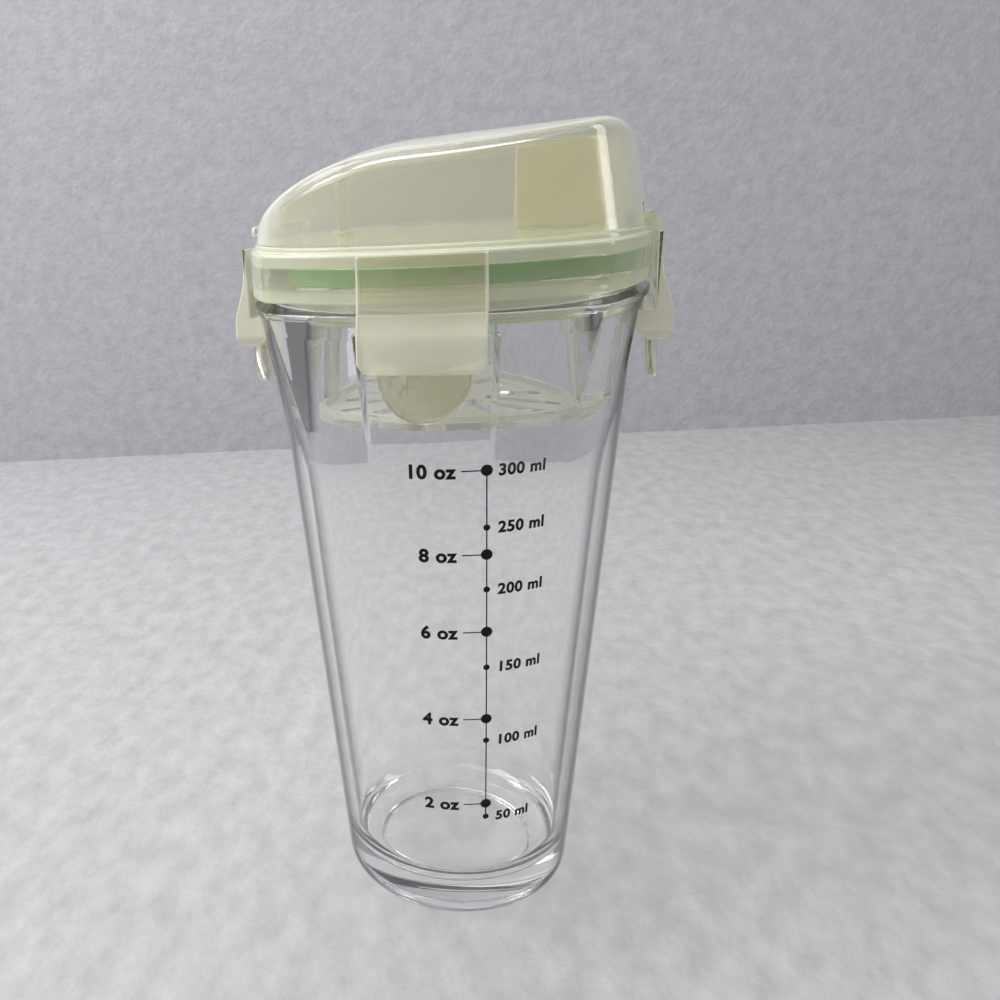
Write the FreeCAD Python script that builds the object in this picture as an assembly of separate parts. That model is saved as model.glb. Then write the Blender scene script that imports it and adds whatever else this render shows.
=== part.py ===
"""Salad dressing shaker: pressed glass tumbler, four-clip snap lid and wedge flip cover.

Millimetres, +Z up, origin at the middle of the glass base. The front clip faces -Y,
the low end of the flip cover with its thumb lip is at -X and its hinge is at +X.
"""
import FreeCAD, Part
import math
import os

V = FreeCAD.Vector
UP = V(0, 0, 1)
ORIGIN = V(0, 0, 0)

# Glass body
BASE_RADIUS = 27.65
WALL_TAPER = 0.084
GLASS_WALL = 3.1
FLOOR_HEIGHT = 8.0
FLOOR_RADIUS = 17.4
FLOOR_CURVE_HEIGHT = 8.0
FLOOR_CURVE_OUT = 0.72
FLOOR_CURVE_UP = 0.30
HEEL_HEIGHT = 5.0
HEEL_INSET = 4.6
HEEL_CURVE_IN = 0.16
HEEL_CURVE_UP = 0.32
PUNT_RADIUS = 20.5
PUNT_DEPTH = 1.4
LEDGE_HEIGHT = 142.7
FLANGE_THICK = 3.8
FLANGE_LIP = 1.3
FLANGE_REACH = 2.63
FLANGE_BOW = 63.0
FLANGE_CORNER = 4.0
FLANGE_ROUND = 0.5
RIM_RISE = 4.9
RIM_WALL = 2.2
RIM_ROUND = 0.9
FLARE_HEIGHT = 26.7
FLARE_INSET = 0.8
FLARE_SINK = 0.3
POCKET_SIDE_GAP = 3.8
POCKET_SPREAD = 0.74

# Lid base
LID_GAP = 2.0
LID_HEIGHT = 9.4
LID_OVERHANG = 0.2
LID_EDGE_ROUND = 0.6
SKIRT_GAP = 0.7
SEAL_HEIGHT = 3.8
SEAL_GAP = 0.2
PLUG_GAP = 0.64
PLUG_WALL = 1.8
PLUG_DROP = 13.0
LAND_HEIGHT = 1.0
LAND_MARGIN = 0.4
DECK_THICK = 2.0
POUR_INSET = 17.1
POUR_LENGTH = 12.0
POUR_WIDTH = 14.0
POUR_CORNER = 3.0
VENT_INSET = 18.1
VENT_RADIUS = 1.75

# Side clips
CLIP_WIDTH = 24.0
CLIP_GAP = 0.3
CLIP_TOP_DROP = 0.3
CLIP_PLATE = 1.0
CLIP_BULGE = 2.7
CLIP_BULGE_START = 7.2
CLIP_BULGE_PEAK = 16.2
BULGE_SWELL = 0.22
BULGE_TURN_IN = 0.6
BULGE_TURN_UP = 0.36
CLIP_BOTTOM = 22.1
CLIP_CORNER = 3.5
HOOK_GAP = 0.3
HOOK_NOSE_GAP = 0.62
HOOK_CURVE_ROOM = 3.0
HOOK_RISE = 0.7
HOOK_SLOPE = 0.77
TAB_WIDTH = 17.8
TAB_INSET = 1.3
TAB_THICK = 2.2
TAB_ROOT = 2.0
TAB_LENGTH = 9.5
TAB_FLARE = 1.0

# Flip cover
COVER_GAP = 0.3
COVER_WALL = 1.6
COVER_HEIGHT = 20.8
COVER_HIGH_INSET = 10.1
COVER_LOW_MARGIN = 1.2
COVER_HIGH_MARGIN = 1.2
COVER_SIDE_MARGIN = 4.3
COVER_SIDE_BOW = 90.0
COVER_END_BOW = 60.0
COVER_SIDE_LEAN = 0.09
COVER_END_LEAN = 0.16
COVER_CORNER = 13.0
ROOF_CROWN = 270.0
ROOF_SLOPE = 0.05
ROOF_RUN = 35.0
ROOF_LOW_RISE = 1.8
ROOF_END_ROUND = 8.5
ROOF_EDGE_ROUND = 1.4
LIP_RISE = 0.6
LIP_HEIGHT = 2.5
LIP_REACH = 1.2
LIP_DEPTH = 5.2
LIP_WIDTH = 26.0
LIP_ROUND = 1.1

# Cover hinge
HINGE_MARGIN = 1.4
HINGE_WEB = 5.0
HINGE_RISE = 1.4
KNUCKLE_RADIUS = 1.1
KNUCKLE_LENGTH = 17.2
PIN_RADIUS = 0.55
PIN_GAP = 0.05
EAR_SIDE_GAP = 0.4
EAR_THICK = 2.0
EAR_FOOT = 1.9
EAR_RISE = 3.6
EAR_SINK = 0.5
EAR_OVERHANG = 1.1
EAR_TOE_RISE = 0.5
EAR_TOE_GAP = 0.1
EAR_BOSS = 1.2
EAR_NOTCH = 3.3

# Stoppers under the cover
POST_TOP_RADIUS = 1.7
POST_TIP_RADIUS = 1.3
PLUG_TIP_GAP = 0.25
PLUG_TIP_DEPTH = 1.6
PLUG_TIP_FLANGE = 2.6
PLUG_TIP_FLANGE_THICK = 0.9
STOPPER_LENGTH = 18.6
STOPPER_WIDTH = 20.0
STOPPER_WALL = 1.5
STOPPER_PLUG_GAP = 0.6
STOPPER_PLUG_DEPTH = 1.2

# Mixing insert
INSERT_STEP = 2.1
INSERT_DROP = 34.5
INSERT_RING_HEIGHT = 2.9
INSERT_RING_WALL = 1.8
INSERT_FLOOR = 1.2
INSERT_COLLAR_HEIGHT = 9.0
INSERT_WALL = 1.5
INSERT_FIT = 0.05
STRUT_COUNT = 4
STRUT_WIDTH = 9.0
SLOT_COUNT = 12
SLOT_WIDTH = 4.0
SLOT_INNER = 10.0
SLOT_MARGIN = 5.1

# Overrun of tools past what they cut
OVERRUN = 1.0
TINY = 0.01


def glass_radius(height):
    """Outer radius of the plain tapered glass at a height."""
    return BASE_RADIUS + WALL_TAPER * height


# Heights that follow from the sizes above
FLANGE_TOP = LEDGE_HEIGHT + FLANGE_THICK
RIM_TOP = FLANGE_TOP + RIM_RISE
FLARE_START = LEDGE_HEIGHT - FLARE_HEIGHT
LID_BOTTOM = FLANGE_TOP + LID_GAP
LID_TOP = LID_BOTTOM + LID_HEIGHT
SEAL_TOP = RIM_TOP + SEAL_HEIGHT
LAND_TOP = LID_TOP + LAND_HEIGHT
DECK_UNDER = LAND_TOP - DECK_THICK
PLUG_BOTTOM = DECK_UNDER - PLUG_DROP
COVER_BOTTOM = LAND_TOP + COVER_GAP
COVER_TOP = COVER_BOTTOM + COVER_HEIGHT
HINGE_Z = LAND_TOP + HINGE_RISE
CLIP_FOOT = LID_TOP - CLIP_BOTTOM
HOOK_TOP = LEDGE_HEIGHT - HOOK_GAP
LIP_UNDER = FLANGE_TOP - FLANGE_LIP
INSERT_BOTTOM = DECK_UNDER - INSERT_DROP

# Radii and places that follow from the sizes above
RIM_RADIUS = glass_radius(RIM_TOP) - GLASS_WALL + RIM_WALL
FLANGE_HALF = RIM_RADIUS + FLANGE_REACH
LID_HALF = FLANGE_HALF + LID_OVERHANG
SKIRT_INNER_RADIUS = RIM_RADIUS + SKIRT_GAP
PLUG_OUTER_RADIUS = glass_radius(PLUG_BOTTOM) - GLASS_WALL - PLUG_GAP
PLUG_INNER_RADIUS = PLUG_OUTER_RADIUS - PLUG_WALL
INSERT_RADIUS = PLUG_INNER_RADIUS - INSERT_STEP
CLIP_INNER = LID_HALF + CLIP_GAP
CLIP_OUTER = CLIP_INNER + CLIP_PLATE
CLIP_AXIS_R = CLIP_INNER + CLIP_PLATE / 2
CLIP_AXIS_Z = LID_TOP - CLIP_TOP_DROP - CLIP_PLATE / 2
HOOK_NOSE = glass_radius(LEDGE_HEIGHT) + HOOK_NOSE_GAP
TAB_INNER = CLIP_INNER - TAB_INSET
COVER_LOW_END = LID_HALF - COVER_LOW_MARGIN
COVER_HIGH_END = LID_HALF - COVER_HIGH_MARGIN
COVER_HALF_WIDTH = LID_HALF - COVER_SIDE_MARGIN
COVER_HIGH_X = COVER_HIGH_END - COVER_HIGH_INSET
ROOF_BEND_X = COVER_HIGH_X - ROOF_RUN
POUR_X = COVER_HIGH_END - POUR_INSET
VENT_X = VENT_INSET - COVER_LOW_END
HINGE_X = LID_HALF - HINGE_MARGIN


def line(a, b):
    """Straight edge between two points."""
    return Part.LineSegment(a, b).toShape()


def arc(a, b, c):
    """Arc edge through three points."""
    return Part.Arc(a, b, c).toShape()


def rz(radius, height):
    """Point of a profile in the XZ plane."""
    return V(radius, 0, height)


def face_of(edges):
    """Plane face inside a closed ring of edges."""
    return Part.Face(Part.Wire(Part.__sortEdges__(edges)))


def polygon_face(points):
    """Plane face inside a closed polygon."""
    return Part.Face(Part.makePolygon(points + points[:1]))


def turned(face):
    """Solid of revolution of a face in the XZ plane about the Z axis."""
    return face.revolve(ORIGIN, UP, 360)


def tube(outer, inner, bottom, top):
    """Round tube on the Z axis."""
    height = top - bottom
    shell = Part.makeCylinder(outer, height, V(0, 0, bottom))
    return shell.cut(Part.makeCylinder(inner, height, V(0, 0, bottom)))


def block(x0, x1, y0, y1, z0, z1):
    """Rectangular block between two corners."""
    return Part.makeBox(x1 - x0, y1 - y0, z1 - z0, V(x0, y0, z0))


def bowed_wire(half, bow, height):
    """Square outline with bowed sides; with the bow equal to the half width it is a circle."""
    offset = bow - half
    corner = (math.sqrt(2 * bow ** 2 - offset ** 2) - offset) / 2
    side = arc(V(corner, -corner, height), V(half, 0, height), V(corner, corner, height))
    return Part.Wire(quarter_turns(side))


def bowed_plate(half, bottom, top):
    """Plate with the bowed outline and soft corners that the lid and the glass flange share."""
    face = Part.Face(bowed_wire(half, FLANGE_BOW, bottom))
    plate = face.extrude(V(0, 0, top - bottom))
    corners = []
    for edge in plate.Edges:
        if edge.BoundBox.ZLength > (top - bottom) / 2:
            corners.append(edge)
    return plate.makeFillet(FLANGE_CORNER, corners)


def quarter_turns(shape, count=4):
    """Copies of a shape spaced evenly about the Z axis."""
    copies = []
    for index in range(count):
        copy = shape.copy()
        copy.rotate(ORIGIN, UP, index * 360.0 / count)
        copies.append(copy)
    return copies


def fused(shapes):
    """One solid out of touching shapes, without the seams between flush faces."""
    return shapes[0].multiFuse(shapes[1:]).removeSplitter()


# Glass tumbler

def glass_outside():
    """Solid outside of the tumbler: tapered body, rounded heel, rim and shallow punt."""
    foot = glass_radius(0) - HEEL_INSET
    heel_end = rz(glass_radius(HEEL_HEIGHT), HEEL_HEIGHT)
    heel_mid = rz(glass_radius(0) - HEEL_INSET * HEEL_CURVE_IN, HEEL_HEIGHT * HEEL_CURVE_UP)
    ledge = rz(glass_radius(LEDGE_HEIGHT), LEDGE_HEIGHT)
    edges = [
        line(rz(0, PUNT_DEPTH), rz(PUNT_RADIUS - PUNT_DEPTH, PUNT_DEPTH)),
        line(rz(PUNT_RADIUS - PUNT_DEPTH, PUNT_DEPTH), rz(PUNT_RADIUS, 0)),
        line(rz(PUNT_RADIUS, 0), rz(foot, 0)),
        arc(rz(foot, 0), heel_mid, heel_end),
        line(heel_end, ledge),
        line(ledge, rz(RIM_RADIUS, FLANGE_TOP)),
        line(rz(RIM_RADIUS, FLANGE_TOP), rz(RIM_RADIUS, RIM_TOP)),
        line(rz(RIM_RADIUS, RIM_TOP), rz(0, RIM_TOP)),
        line(rz(0, RIM_TOP), rz(0, PUNT_DEPTH)),
    ]
    return turned(face_of(edges))


def glass_bore():
    """Inside of the tumbler: flat floor, round inner corner and tapered wall."""
    curve_top = FLOOR_HEIGHT + FLOOR_CURVE_HEIGHT
    wall_start = rz(glass_radius(curve_top) - GLASS_WALL, curve_top)
    mouth = rz(glass_radius(RIM_TOP) - GLASS_WALL, RIM_TOP)
    span = wall_start.x - FLOOR_RADIUS
    mid_height = FLOOR_HEIGHT + FLOOR_CURVE_HEIGHT * FLOOR_CURVE_UP
    mid = rz(FLOOR_RADIUS + span * FLOOR_CURVE_OUT, mid_height)
    edges = [
        line(rz(0, FLOOR_HEIGHT), rz(FLOOR_RADIUS, FLOOR_HEIGHT)),
        arc(rz(FLOOR_RADIUS, FLOOR_HEIGHT), mid, wall_start),
        line(wall_start, mouth),
        line(mouth, rz(0, RIM_TOP)),
        line(rz(0, RIM_TOP), rz(0, FLOOR_HEIGHT)),
    ]
    return turned(face_of(edges))


def clip_pocket():
    """Cutter of the pocket behind one clip, wider at its mouth than at the glass."""
    mouth = CLIP_WIDTH / 2 + POCKET_SIDE_GAP
    inside = glass_radius(FLARE_START) - GLASS_WALL
    reach = FLANGE_HALF + OVERRUN
    half_inside = mouth - (FLANGE_HALF - inside) * POCKET_SPREAD
    half_reach = mouth + OVERRUN * POCKET_SPREAD
    bottom = FLARE_START - OVERRUN
    points = [
        V(inside, -half_inside, bottom),
        V(reach, -half_reach, bottom),
        V(reach, half_reach, bottom),
        V(inside, half_inside, bottom),
    ]
    return polygon_face(points).extrude(V(0, 0, LEDGE_HEIGHT - bottom))


def corner_gussets():
    """Four corners that grow from the round glass to the flange, with clip pockets between them."""
    radius = glass_radius(FLARE_START) - FLARE_SINK
    foot = bowed_wire(radius, radius, FLARE_START)
    top = bowed_wire(FLANGE_HALF - FLARE_INSET, FLANGE_BOW, LIP_UNDER)
    flare = Part.makeLoft([foot, top], True, True)
    for cutter in quarter_turns(clip_pocket()):
        flare = flare.cut(cutter)
    return flare


def flange_lip():
    """Thin lip round the top of the flange, with rounded edges."""
    lip = bowed_plate(FLANGE_HALF, LIP_UNDER, FLANGE_TOP)
    outlines = []
    for edge in lip.Edges:
        if edge.BoundBox.ZLength < TINY:
            outlines.append(edge)
    return lip.makeFillet(FLANGE_ROUND, outlines)


def glass_tumbler():
    """Whole tumbler in one piece of glass."""
    body = fused([glass_outside(), corner_gussets(), flange_lip()]).cut(glass_bore())
    rim_edges = []
    for edge in body.Edges:
        if edge.BoundBox.ZMin > RIM_TOP - TINY:
            rim_edges.append(edge)
    return body.makeFillet(RIM_ROUND, rim_edges)


# Seal and lid base

def seal_ring():
    """Silicone seal between the glass rim and the roof of the lid's channel."""
    return tube(SKIRT_INNER_RADIUS - SEAL_GAP, PLUG_OUTER_RADIUS + SEAL_GAP, RIM_TOP, SEAL_TOP)


def pour_cutter(gap, bottom, top):
    """Round-cornered prism of the pour opening, drawn in by a gap on every side."""
    half_length = POUR_LENGTH / 2 - gap
    half_width = POUR_WIDTH / 2 - gap
    prism = block(POUR_X - half_length, POUR_X + half_length, -half_width, half_width, bottom, top)
    upright = []
    for edge in prism.Edges:
        if edge.BoundBox.ZLength > (top - bottom) / 2:
            upright.append(edge)
    return prism.makeFillet(POUR_CORNER - gap, upright)


def hinge_ear(side):
    """One triangular ear that carries an end of the cover's hinge pin and overhangs the clip."""
    inner = side * (KNUCKLE_LENGTH / 2 + EAR_SIDE_GAP)
    heel = HINGE_X - EAR_FOOT
    toe = LID_HALF + EAR_OVERHANG
    points = [
        V(heel, inner, LID_TOP - EAR_SINK),
        V(heel, inner, LID_TOP + EAR_RISE),
        V(toe, inner, LID_TOP + EAR_TOE_RISE),
        V(toe, inner, LID_TOP + EAR_TOE_GAP),
        V(HINGE_X, inner, LID_TOP - EAR_SINK),
    ]
    ear = polygon_face(points).extrude(V(0, side * EAR_THICK, 0))
    boss = Part.makeCylinder(EAR_BOSS, EAR_THICK, V(HINGE_X, inner, HINGE_Z), V(0, side, 0))
    return ear.fuse(boss)


def pin_hole(radius):
    """Long cylinder on the cover's hinge axis."""
    length = KNUCKLE_LENGTH + 2 * (EAR_SIDE_GAP + EAR_THICK)
    return Part.makeCylinder(radius, length, V(HINGE_X, -length / 2, HINGE_Z), V(0, 1, 0))


def lid_base():
    """Snap lid: bowed skirt, seal channel, plug wall, raised land, openings and hinge ears."""
    rim = bowed_plate(LID_HALF, LID_BOTTOM, LID_TOP)
    top_edges = []
    for edge in rim.Edges:
        if edge.BoundBox.ZMin > LID_TOP - TINY:
            top_edges.append(edge)
    rim = rim.makeFillet(LID_EDGE_ROUND, top_edges)
    land = cover_plan(-LAND_MARGIN, LID_TOP - OVERRUN, LAND_TOP, 0, 0)
    plug = tube(PLUG_OUTER_RADIUS, PLUG_INNER_RADIUS, PLUG_BOTTOM, SEAL_TOP)
    channel = tube(SKIRT_INNER_RADIUS, PLUG_OUTER_RADIUS, LID_BOTTOM, SEAL_TOP)
    hollow = Part.makeCylinder(PLUG_INNER_RADIUS, PLUG_DROP, V(0, 0, PLUG_BOTTOM))
    lid = fused([rim, land, plug]).cut(channel).cut(hollow)
    lid = fused([lid, hinge_ear(1), hinge_ear(-1)])
    lid = lid.cut(pour_cutter(0, DECK_UNDER - OVERRUN, LAND_TOP + OVERRUN))
    vent_start = V(VENT_X, 0, DECK_UNDER - OVERRUN)
    vent = Part.makeCylinder(VENT_RADIUS, DECK_THICK + 2 * OVERRUN, vent_start)
    return lid.cut(vent).cut(pin_hole(PIN_RADIUS))


# Side clips

def clip_profile():
    """Side view of the thick part of a clip: plate, outward bulge and inward hook."""
    peak = CLIP_OUTER + CLIP_BULGE
    start = rz(CLIP_OUTER, LID_TOP - CLIP_BULGE_START)
    crest = rz(peak, LID_TOP - CLIP_BULGE_PEAK)
    rise = (start + crest) * 0.5 + V(BULGE_SWELL, 0, 0)
    heel = rz(CLIP_OUTER, CLIP_FOOT)
    turn = rz(peak - BULGE_TURN_IN, CLIP_FOOT + (crest.z - CLIP_FOOT) * BULGE_TURN_UP)
    root = rz(TAB_INNER, CLIP_FOOT + HOOK_RISE)
    tip = HOOK_NOSE - HOOK_CURVE_ROOM
    tip_under = rz(tip, root.z + (root.x - tip) * HOOK_SLOPE)
    edges = [
        line(rz(CLIP_INNER, CLIP_AXIS_Z), rz(CLIP_OUTER, CLIP_AXIS_Z)),
        line(rz(CLIP_OUTER, CLIP_AXIS_Z), start),
        arc(start, rise, crest),
        arc(crest, turn, heel),
        line(heel, root),
        line(root, tip_under),
        line(tip_under, rz(tip, HOOK_TOP)),
        line(rz(tip, HOOK_TOP), rz(CLIP_INNER, HOOK_TOP)),
        line(rz(CLIP_INNER, HOOK_TOP), rz(CLIP_INNER, CLIP_AXIS_Z)),
    ]
    return face_of(edges)


def clip_front_view():
    """Front view of the thick part: straight sides and two rounded lower corners."""
    half = CLIP_WIDTH / 2
    reach = CLIP_OUTER + CLIP_BULGE + OVERRUN
    front = block(0, reach, -half, half, CLIP_FOOT, LID_TOP)
    corners = []
    for edge in front.Edges:
        box = edge.BoundBox
        if box.XLength > OVERRUN and box.ZMax < CLIP_FOOT + TINY:
            corners.append(edge)
    return front.makeFillet(CLIP_CORNER, corners)


def clip_tab():
    """Thin thumb tab below the thick part, round at its end and flared outwards."""
    tip = CLIP_FOOT - TAB_LENGTH
    root = CLIP_FOOT + TAB_ROOT
    outer = TAB_INNER + TAB_THICK
    points = [
        rz(TAB_INNER, root),
        rz(outer, root),
        rz(outer, CLIP_FOOT),
        rz(outer + TAB_FLARE, tip),
        rz(TAB_INNER + TAB_FLARE, tip),
        rz(TAB_INNER, CLIP_FOOT),
    ]
    half = TAB_WIDTH / 2
    strip = polygon_face(points).extrude(V(0, TAB_WIDTH, 0))
    strip.translate(V(0, -half, 0))
    reach = outer + TAB_FLARE + OVERRUN
    round_end = Part.makeCylinder(half, reach, V(0, 0, tip + half), V(1, 0, 0))
    straight = block(0, reach, -half, half, tip + half, root)
    return strip.common(round_end.fuse(straight))


def side_clip(angle):
    """One clip, hung on its round hinge bead at the lid's top edge, its nose curved round the glass."""
    thick = clip_profile().extrude(V(0, CLIP_WIDTH, 0))
    thick.translate(V(0, -CLIP_WIDTH / 2, 0))
    thick = thick.common(clip_front_view())
    thick = thick.cut(Part.makeCylinder(HOOK_NOSE, LID_TOP))
    bead_start = V(CLIP_AXIS_R, -CLIP_WIDTH / 2, CLIP_AXIS_Z)
    bead = Part.makeCylinder(CLIP_PLATE / 2, CLIP_WIDTH, bead_start, V(0, 1, 0))
    clip = fused([thick, bead, clip_tab()])
    clip.rotate(ORIGIN, UP, angle)
    return clip


# Flip cover

def cover_plan(inset, bottom, top, side_lean, end_lean):
    """Bowed four-sided plan of the cover, leaning in as it rises, with rounded corners."""
    height = top - bottom
    side_centre = COVER_SIDE_BOW - COVER_HALF_WIDTH
    cones = []
    for side in (1, -1):
        radius = COVER_SIDE_BOW - inset
        base = V(0, side * side_centre, bottom)
        cones.append(leaning_disc(radius, side_lean, height, base))
    radius = COVER_END_BOW - inset
    cones.append(leaning_disc(radius, end_lean, height, V(COVER_HIGH_END - COVER_END_BOW, 0, bottom)))
    cones.append(leaning_disc(radius, end_lean, height, V(COVER_END_BOW - COVER_LOW_END, 0, bottom)))
    plan = cones[0]
    for cone in cones[1:]:
        plan = plan.common(cone)
    corners = []
    for edge in plan.Edges:
        if edge.BoundBox.ZLength > height / 2:
            corners.append(edge)
    return plan.makeFillet(COVER_CORNER - inset, corners)


def leaning_disc(radius, lean, height, base):
    """Upright cylinder, or a cone that draws in by a lean per unit of height."""
    if lean == 0:
        return Part.makeCylinder(radius, height, base)
    return Part.makeCone(radius, radius - lean * height, height, base)


def roof_body(inset):
    """Body under the crowned roof: a long rising arc, a straight run and a round high end."""
    end_centre = rz(COVER_HIGH_X, COVER_TOP - ROOF_END_ROUND)
    run = V(1, 0, ROOF_SLOPE).normalize()
    inward = V(run.z, 0, -run.x)
    high = end_centre - inward * ROOF_END_ROUND
    bend = high + run * ((ROOF_BEND_X - high.x) / run.x)
    low = rz(-COVER_LOW_END, COVER_BOTTOM + ROOF_LOW_RISE)
    chord = low - bend
    arc_radius = chord.Length ** 2 / (2 * chord.dot(inward))
    arc_centre = bend + inward * arc_radius
    left = -COVER_LOW_END - OVERRUN
    floor = COVER_BOTTOM - OVERRUN
    shown = arc_radius - inset
    left_top = rz(left, arc_centre.z + math.sqrt(shown ** 2 - (left - arc_centre.x) ** 2))
    bend_in = bend + inward * inset
    middle = arc_centre + ((left_top - arc_centre) + (bend_in - arc_centre)).normalize() * shown
    high_in = high + inward * inset
    end_radius = ROOF_END_ROUND - inset
    end_side = end_centre + V(end_radius, 0, 0)
    end_mid = end_centre + (V(1, 0, 0) - inward).normalize() * end_radius
    edges = [
        line(rz(left, floor), left_top),
        arc(left_top, middle, bend_in),
        line(bend_in, high_in),
        arc(high_in, end_mid, end_side),
        line(end_side, rz(end_side.x + (end_side.z - floor) * COVER_END_LEAN, floor)),
        line(rz(end_side.x + (end_side.z - floor) * COVER_END_LEAN, floor), rz(left, floor)),
    ]
    profile = face_of(edges)
    axis_point = rz(0, COVER_TOP - ROOF_CROWN)
    half_angle = 2 * math.degrees(math.asin(COVER_HALF_WIDTH / ROOF_CROWN))
    profile.rotate(axis_point, V(1, 0, 0), -half_angle)
    return profile.revolve(axis_point, V(1, 0, 0), 2 * half_angle)


def cover_form(inset):
    """Closed form of the cover, drawn in by an inset on every side but its open bottom."""
    plan = cover_plan(inset, COVER_BOTTOM, COVER_TOP + OVERRUN, COVER_SIDE_LEAN, COVER_END_LEAN)
    return plan.common(roof_body(inset))


def cover_outside():
    """Outside of the cover with its roof edge rounded."""
    form = cover_form(0)
    roof_edges = []
    for edge in form.Edges:
        upright = edge.BoundBox.ZMin < COVER_BOTTOM + TINY
        if not upright:
            roof_edges.append(edge)
    return form.makeFillet(ROOF_EDGE_ROUND, roof_edges)


def thumb_lip():
    """Rounded lip along the low end of the cover, bowed like the end wall, above the finger notch."""
    bottom = COVER_BOTTOM + LIP_RISE
    centre = V(COVER_END_BOW - COVER_LOW_END, 0, bottom)
    tip = -COVER_LOW_END - LIP_REACH
    half = LIP_WIDTH / 2
    bar = block(tip, tip + LIP_DEPTH, -half, half, bottom, bottom + LIP_HEIGHT)
    lip = Part.makeCylinder(COVER_END_BOW + LIP_REACH, LIP_HEIGHT, centre).common(bar)
    long_edges = []
    for edge in lip.Edges:
        box = edge.BoundBox
        if box.XMin < -COVER_LOW_END and box.YLength > half:
            long_edges.append(edge)
    return lip.makeFillet(LIP_ROUND, long_edges)


def hinge_rail():
    """Barrel along the foot of the high end wall, webbed to the wall."""
    half = KNUCKLE_LENGTH / 2
    barrel = Part.makeCylinder(KNUCKLE_RADIUS, KNUCKLE_LENGTH, V(HINGE_X, -half, HINGE_Z), V(0, 1, 0))
    bottom = HINGE_Z - KNUCKLE_RADIUS
    web = block(HINGE_X - HINGE_WEB, HINGE_X, -half, half, bottom, bottom + 2 * KNUCKLE_RADIUS)
    return barrel.fuse(web)


def ear_notch(side):
    """Room in the high end wall for one hinge ear over the whole swing of the cover."""
    start = V(HINGE_X, side * KNUCKLE_LENGTH / 2, HINGE_Z)
    return Part.makeCylinder(EAR_NOTCH, EAR_THICK + 2 * EAR_SIDE_GAP, start, V(0, side, 0))


def vent_post():
    """Slim tapered post from the roof down to the vent plug."""
    bottom = COVER_BOTTOM + PLUG_TIP_FLANGE_THICK
    return Part.makeCone(POST_TIP_RADIUS, POST_TOP_RADIUS, COVER_TOP - bottom, V(VENT_X, 0, bottom))


def flip_cover(cavity):
    """Thin wedge-shaped cover with its thumb lip, hinge rail and vent post."""
    outside = fused([cover_outside(), thumb_lip(), hinge_rail()])
    post = vent_post().common(cavity)
    shell = outside.cut(cavity).cut(ear_notch(1)).cut(ear_notch(-1))
    return fused([shell, post]).cut(pin_hole(PIN_RADIUS + PIN_GAP))


def vent_plug():
    """Soft plug on the tip of the vent post: a flange above the deck and a stem in the vent."""
    flange = Part.makeCylinder(PLUG_TIP_FLANGE, PLUG_TIP_FLANGE_THICK, V(VENT_X, 0, COVER_BOTTOM))
    stem_length = COVER_GAP + PLUG_TIP_DEPTH
    stem_start = V(VENT_X, 0, COVER_BOTTOM - stem_length)
    stem = Part.makeCylinder(VENT_RADIUS - PLUG_TIP_GAP, stem_length, stem_start)
    return fused([flange, stem])


def pour_stopper(cavity):
    """Hollow stopper that hangs from the roof at the high end and plugs the pour opening."""
    left = POUR_X - STOPPER_LENGTH / 2
    right = POUR_X + STOPPER_LENGTH / 2
    half = STOPPER_WIDTH / 2
    outer = block(left, right, -half, half, COVER_BOTTOM, COVER_TOP)
    half_inside = half - STOPPER_WALL
    floor = COVER_BOTTOM + STOPPER_WALL
    inner = block(left + STOPPER_WALL, right - STOPPER_WALL, -half_inside, half_inside, floor, COVER_TOP)
    walls = outer.cut(inner).common(cavity)
    plug_bottom = COVER_BOTTOM - COVER_GAP - STOPPER_PLUG_DEPTH
    return fused([walls, pour_cutter(STOPPER_PLUG_GAP, plug_bottom, COVER_BOTTOM)])


# Mixing insert

def mixing_insert():
    """Strainer dish on four struts, hung from a collar inside the lid's plug wall."""
    ring_top = INSERT_BOTTOM + INSERT_RING_HEIGHT
    ring = tube(INSERT_RADIUS, INSERT_RADIUS - INSERT_RING_WALL, INSERT_BOTTOM, ring_top)
    floor = Part.makeCylinder(INSERT_RADIUS, INSERT_FLOOR, V(0, 0, INSERT_BOTTOM))
    slot_half = SLOT_WIDTH / 2
    slot_end = INSERT_RADIUS - SLOT_MARGIN
    slot = block(SLOT_INNER, slot_end, -slot_half, slot_half, INSERT_BOTTOM - OVERRUN, ring_top)
    for cutter in quarter_turns(slot, SLOT_COUNT):
        floor = floor.cut(cutter)
    collar_outer = PLUG_INNER_RADIUS - INSERT_FIT
    collar_bottom = DECK_UNDER - INSERT_COLLAR_HEIGHT
    inner_radius = INSERT_RADIUS - INSERT_WALL
    collar = tube(collar_outer, inner_radius, collar_bottom, DECK_UNDER)
    wall = tube(INSERT_RADIUS, inner_radius, INSERT_BOTTOM, DECK_UNDER)
    half = STRUT_WIDTH / 2
    strut = wall.common(block(0, INSERT_RADIUS, -half, half, INSERT_BOTTOM, DECK_UNDER))
    return fused([ring, floor, collar] + quarter_turns(strut, STRUT_COUNT))


def main():
    """Build every piece and write one STEP file for each."""
    os.makedirs("parts", exist_ok=True)
    cavity = cover_form(COVER_WALL)
    pieces = {
        "glass_tumbler": glass_tumbler(),
        "seal_ring": seal_ring(),
        "lid_base": lid_base(),
        "right_clip": side_clip(0),
        "back_clip": side_clip(90),
        "left_clip": side_clip(180),
        "front_clip": side_clip(270),
        "flip_cover": flip_cover(cavity),
        "hinge_pin": pin_hole(PIN_RADIUS),
        "vent_plug": vent_plug(),
        "pour_stopper": pour_stopper(cavity),
        "mixing_insert": mixing_insert(),
    }
    for name, shape in pieces.items():
        shape.exportStep("parts/" + name + ".step")
        box = shape.BoundBox
        print(name, "solids", len(shape.Solids), "valid", shape.isValid(), "volume", round(shape.Volume),
              "z", round(box.ZMin, 2), round(box.ZMax, 2), "x", round(box.XMin, 2), round(box.XMax, 2))


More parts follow.
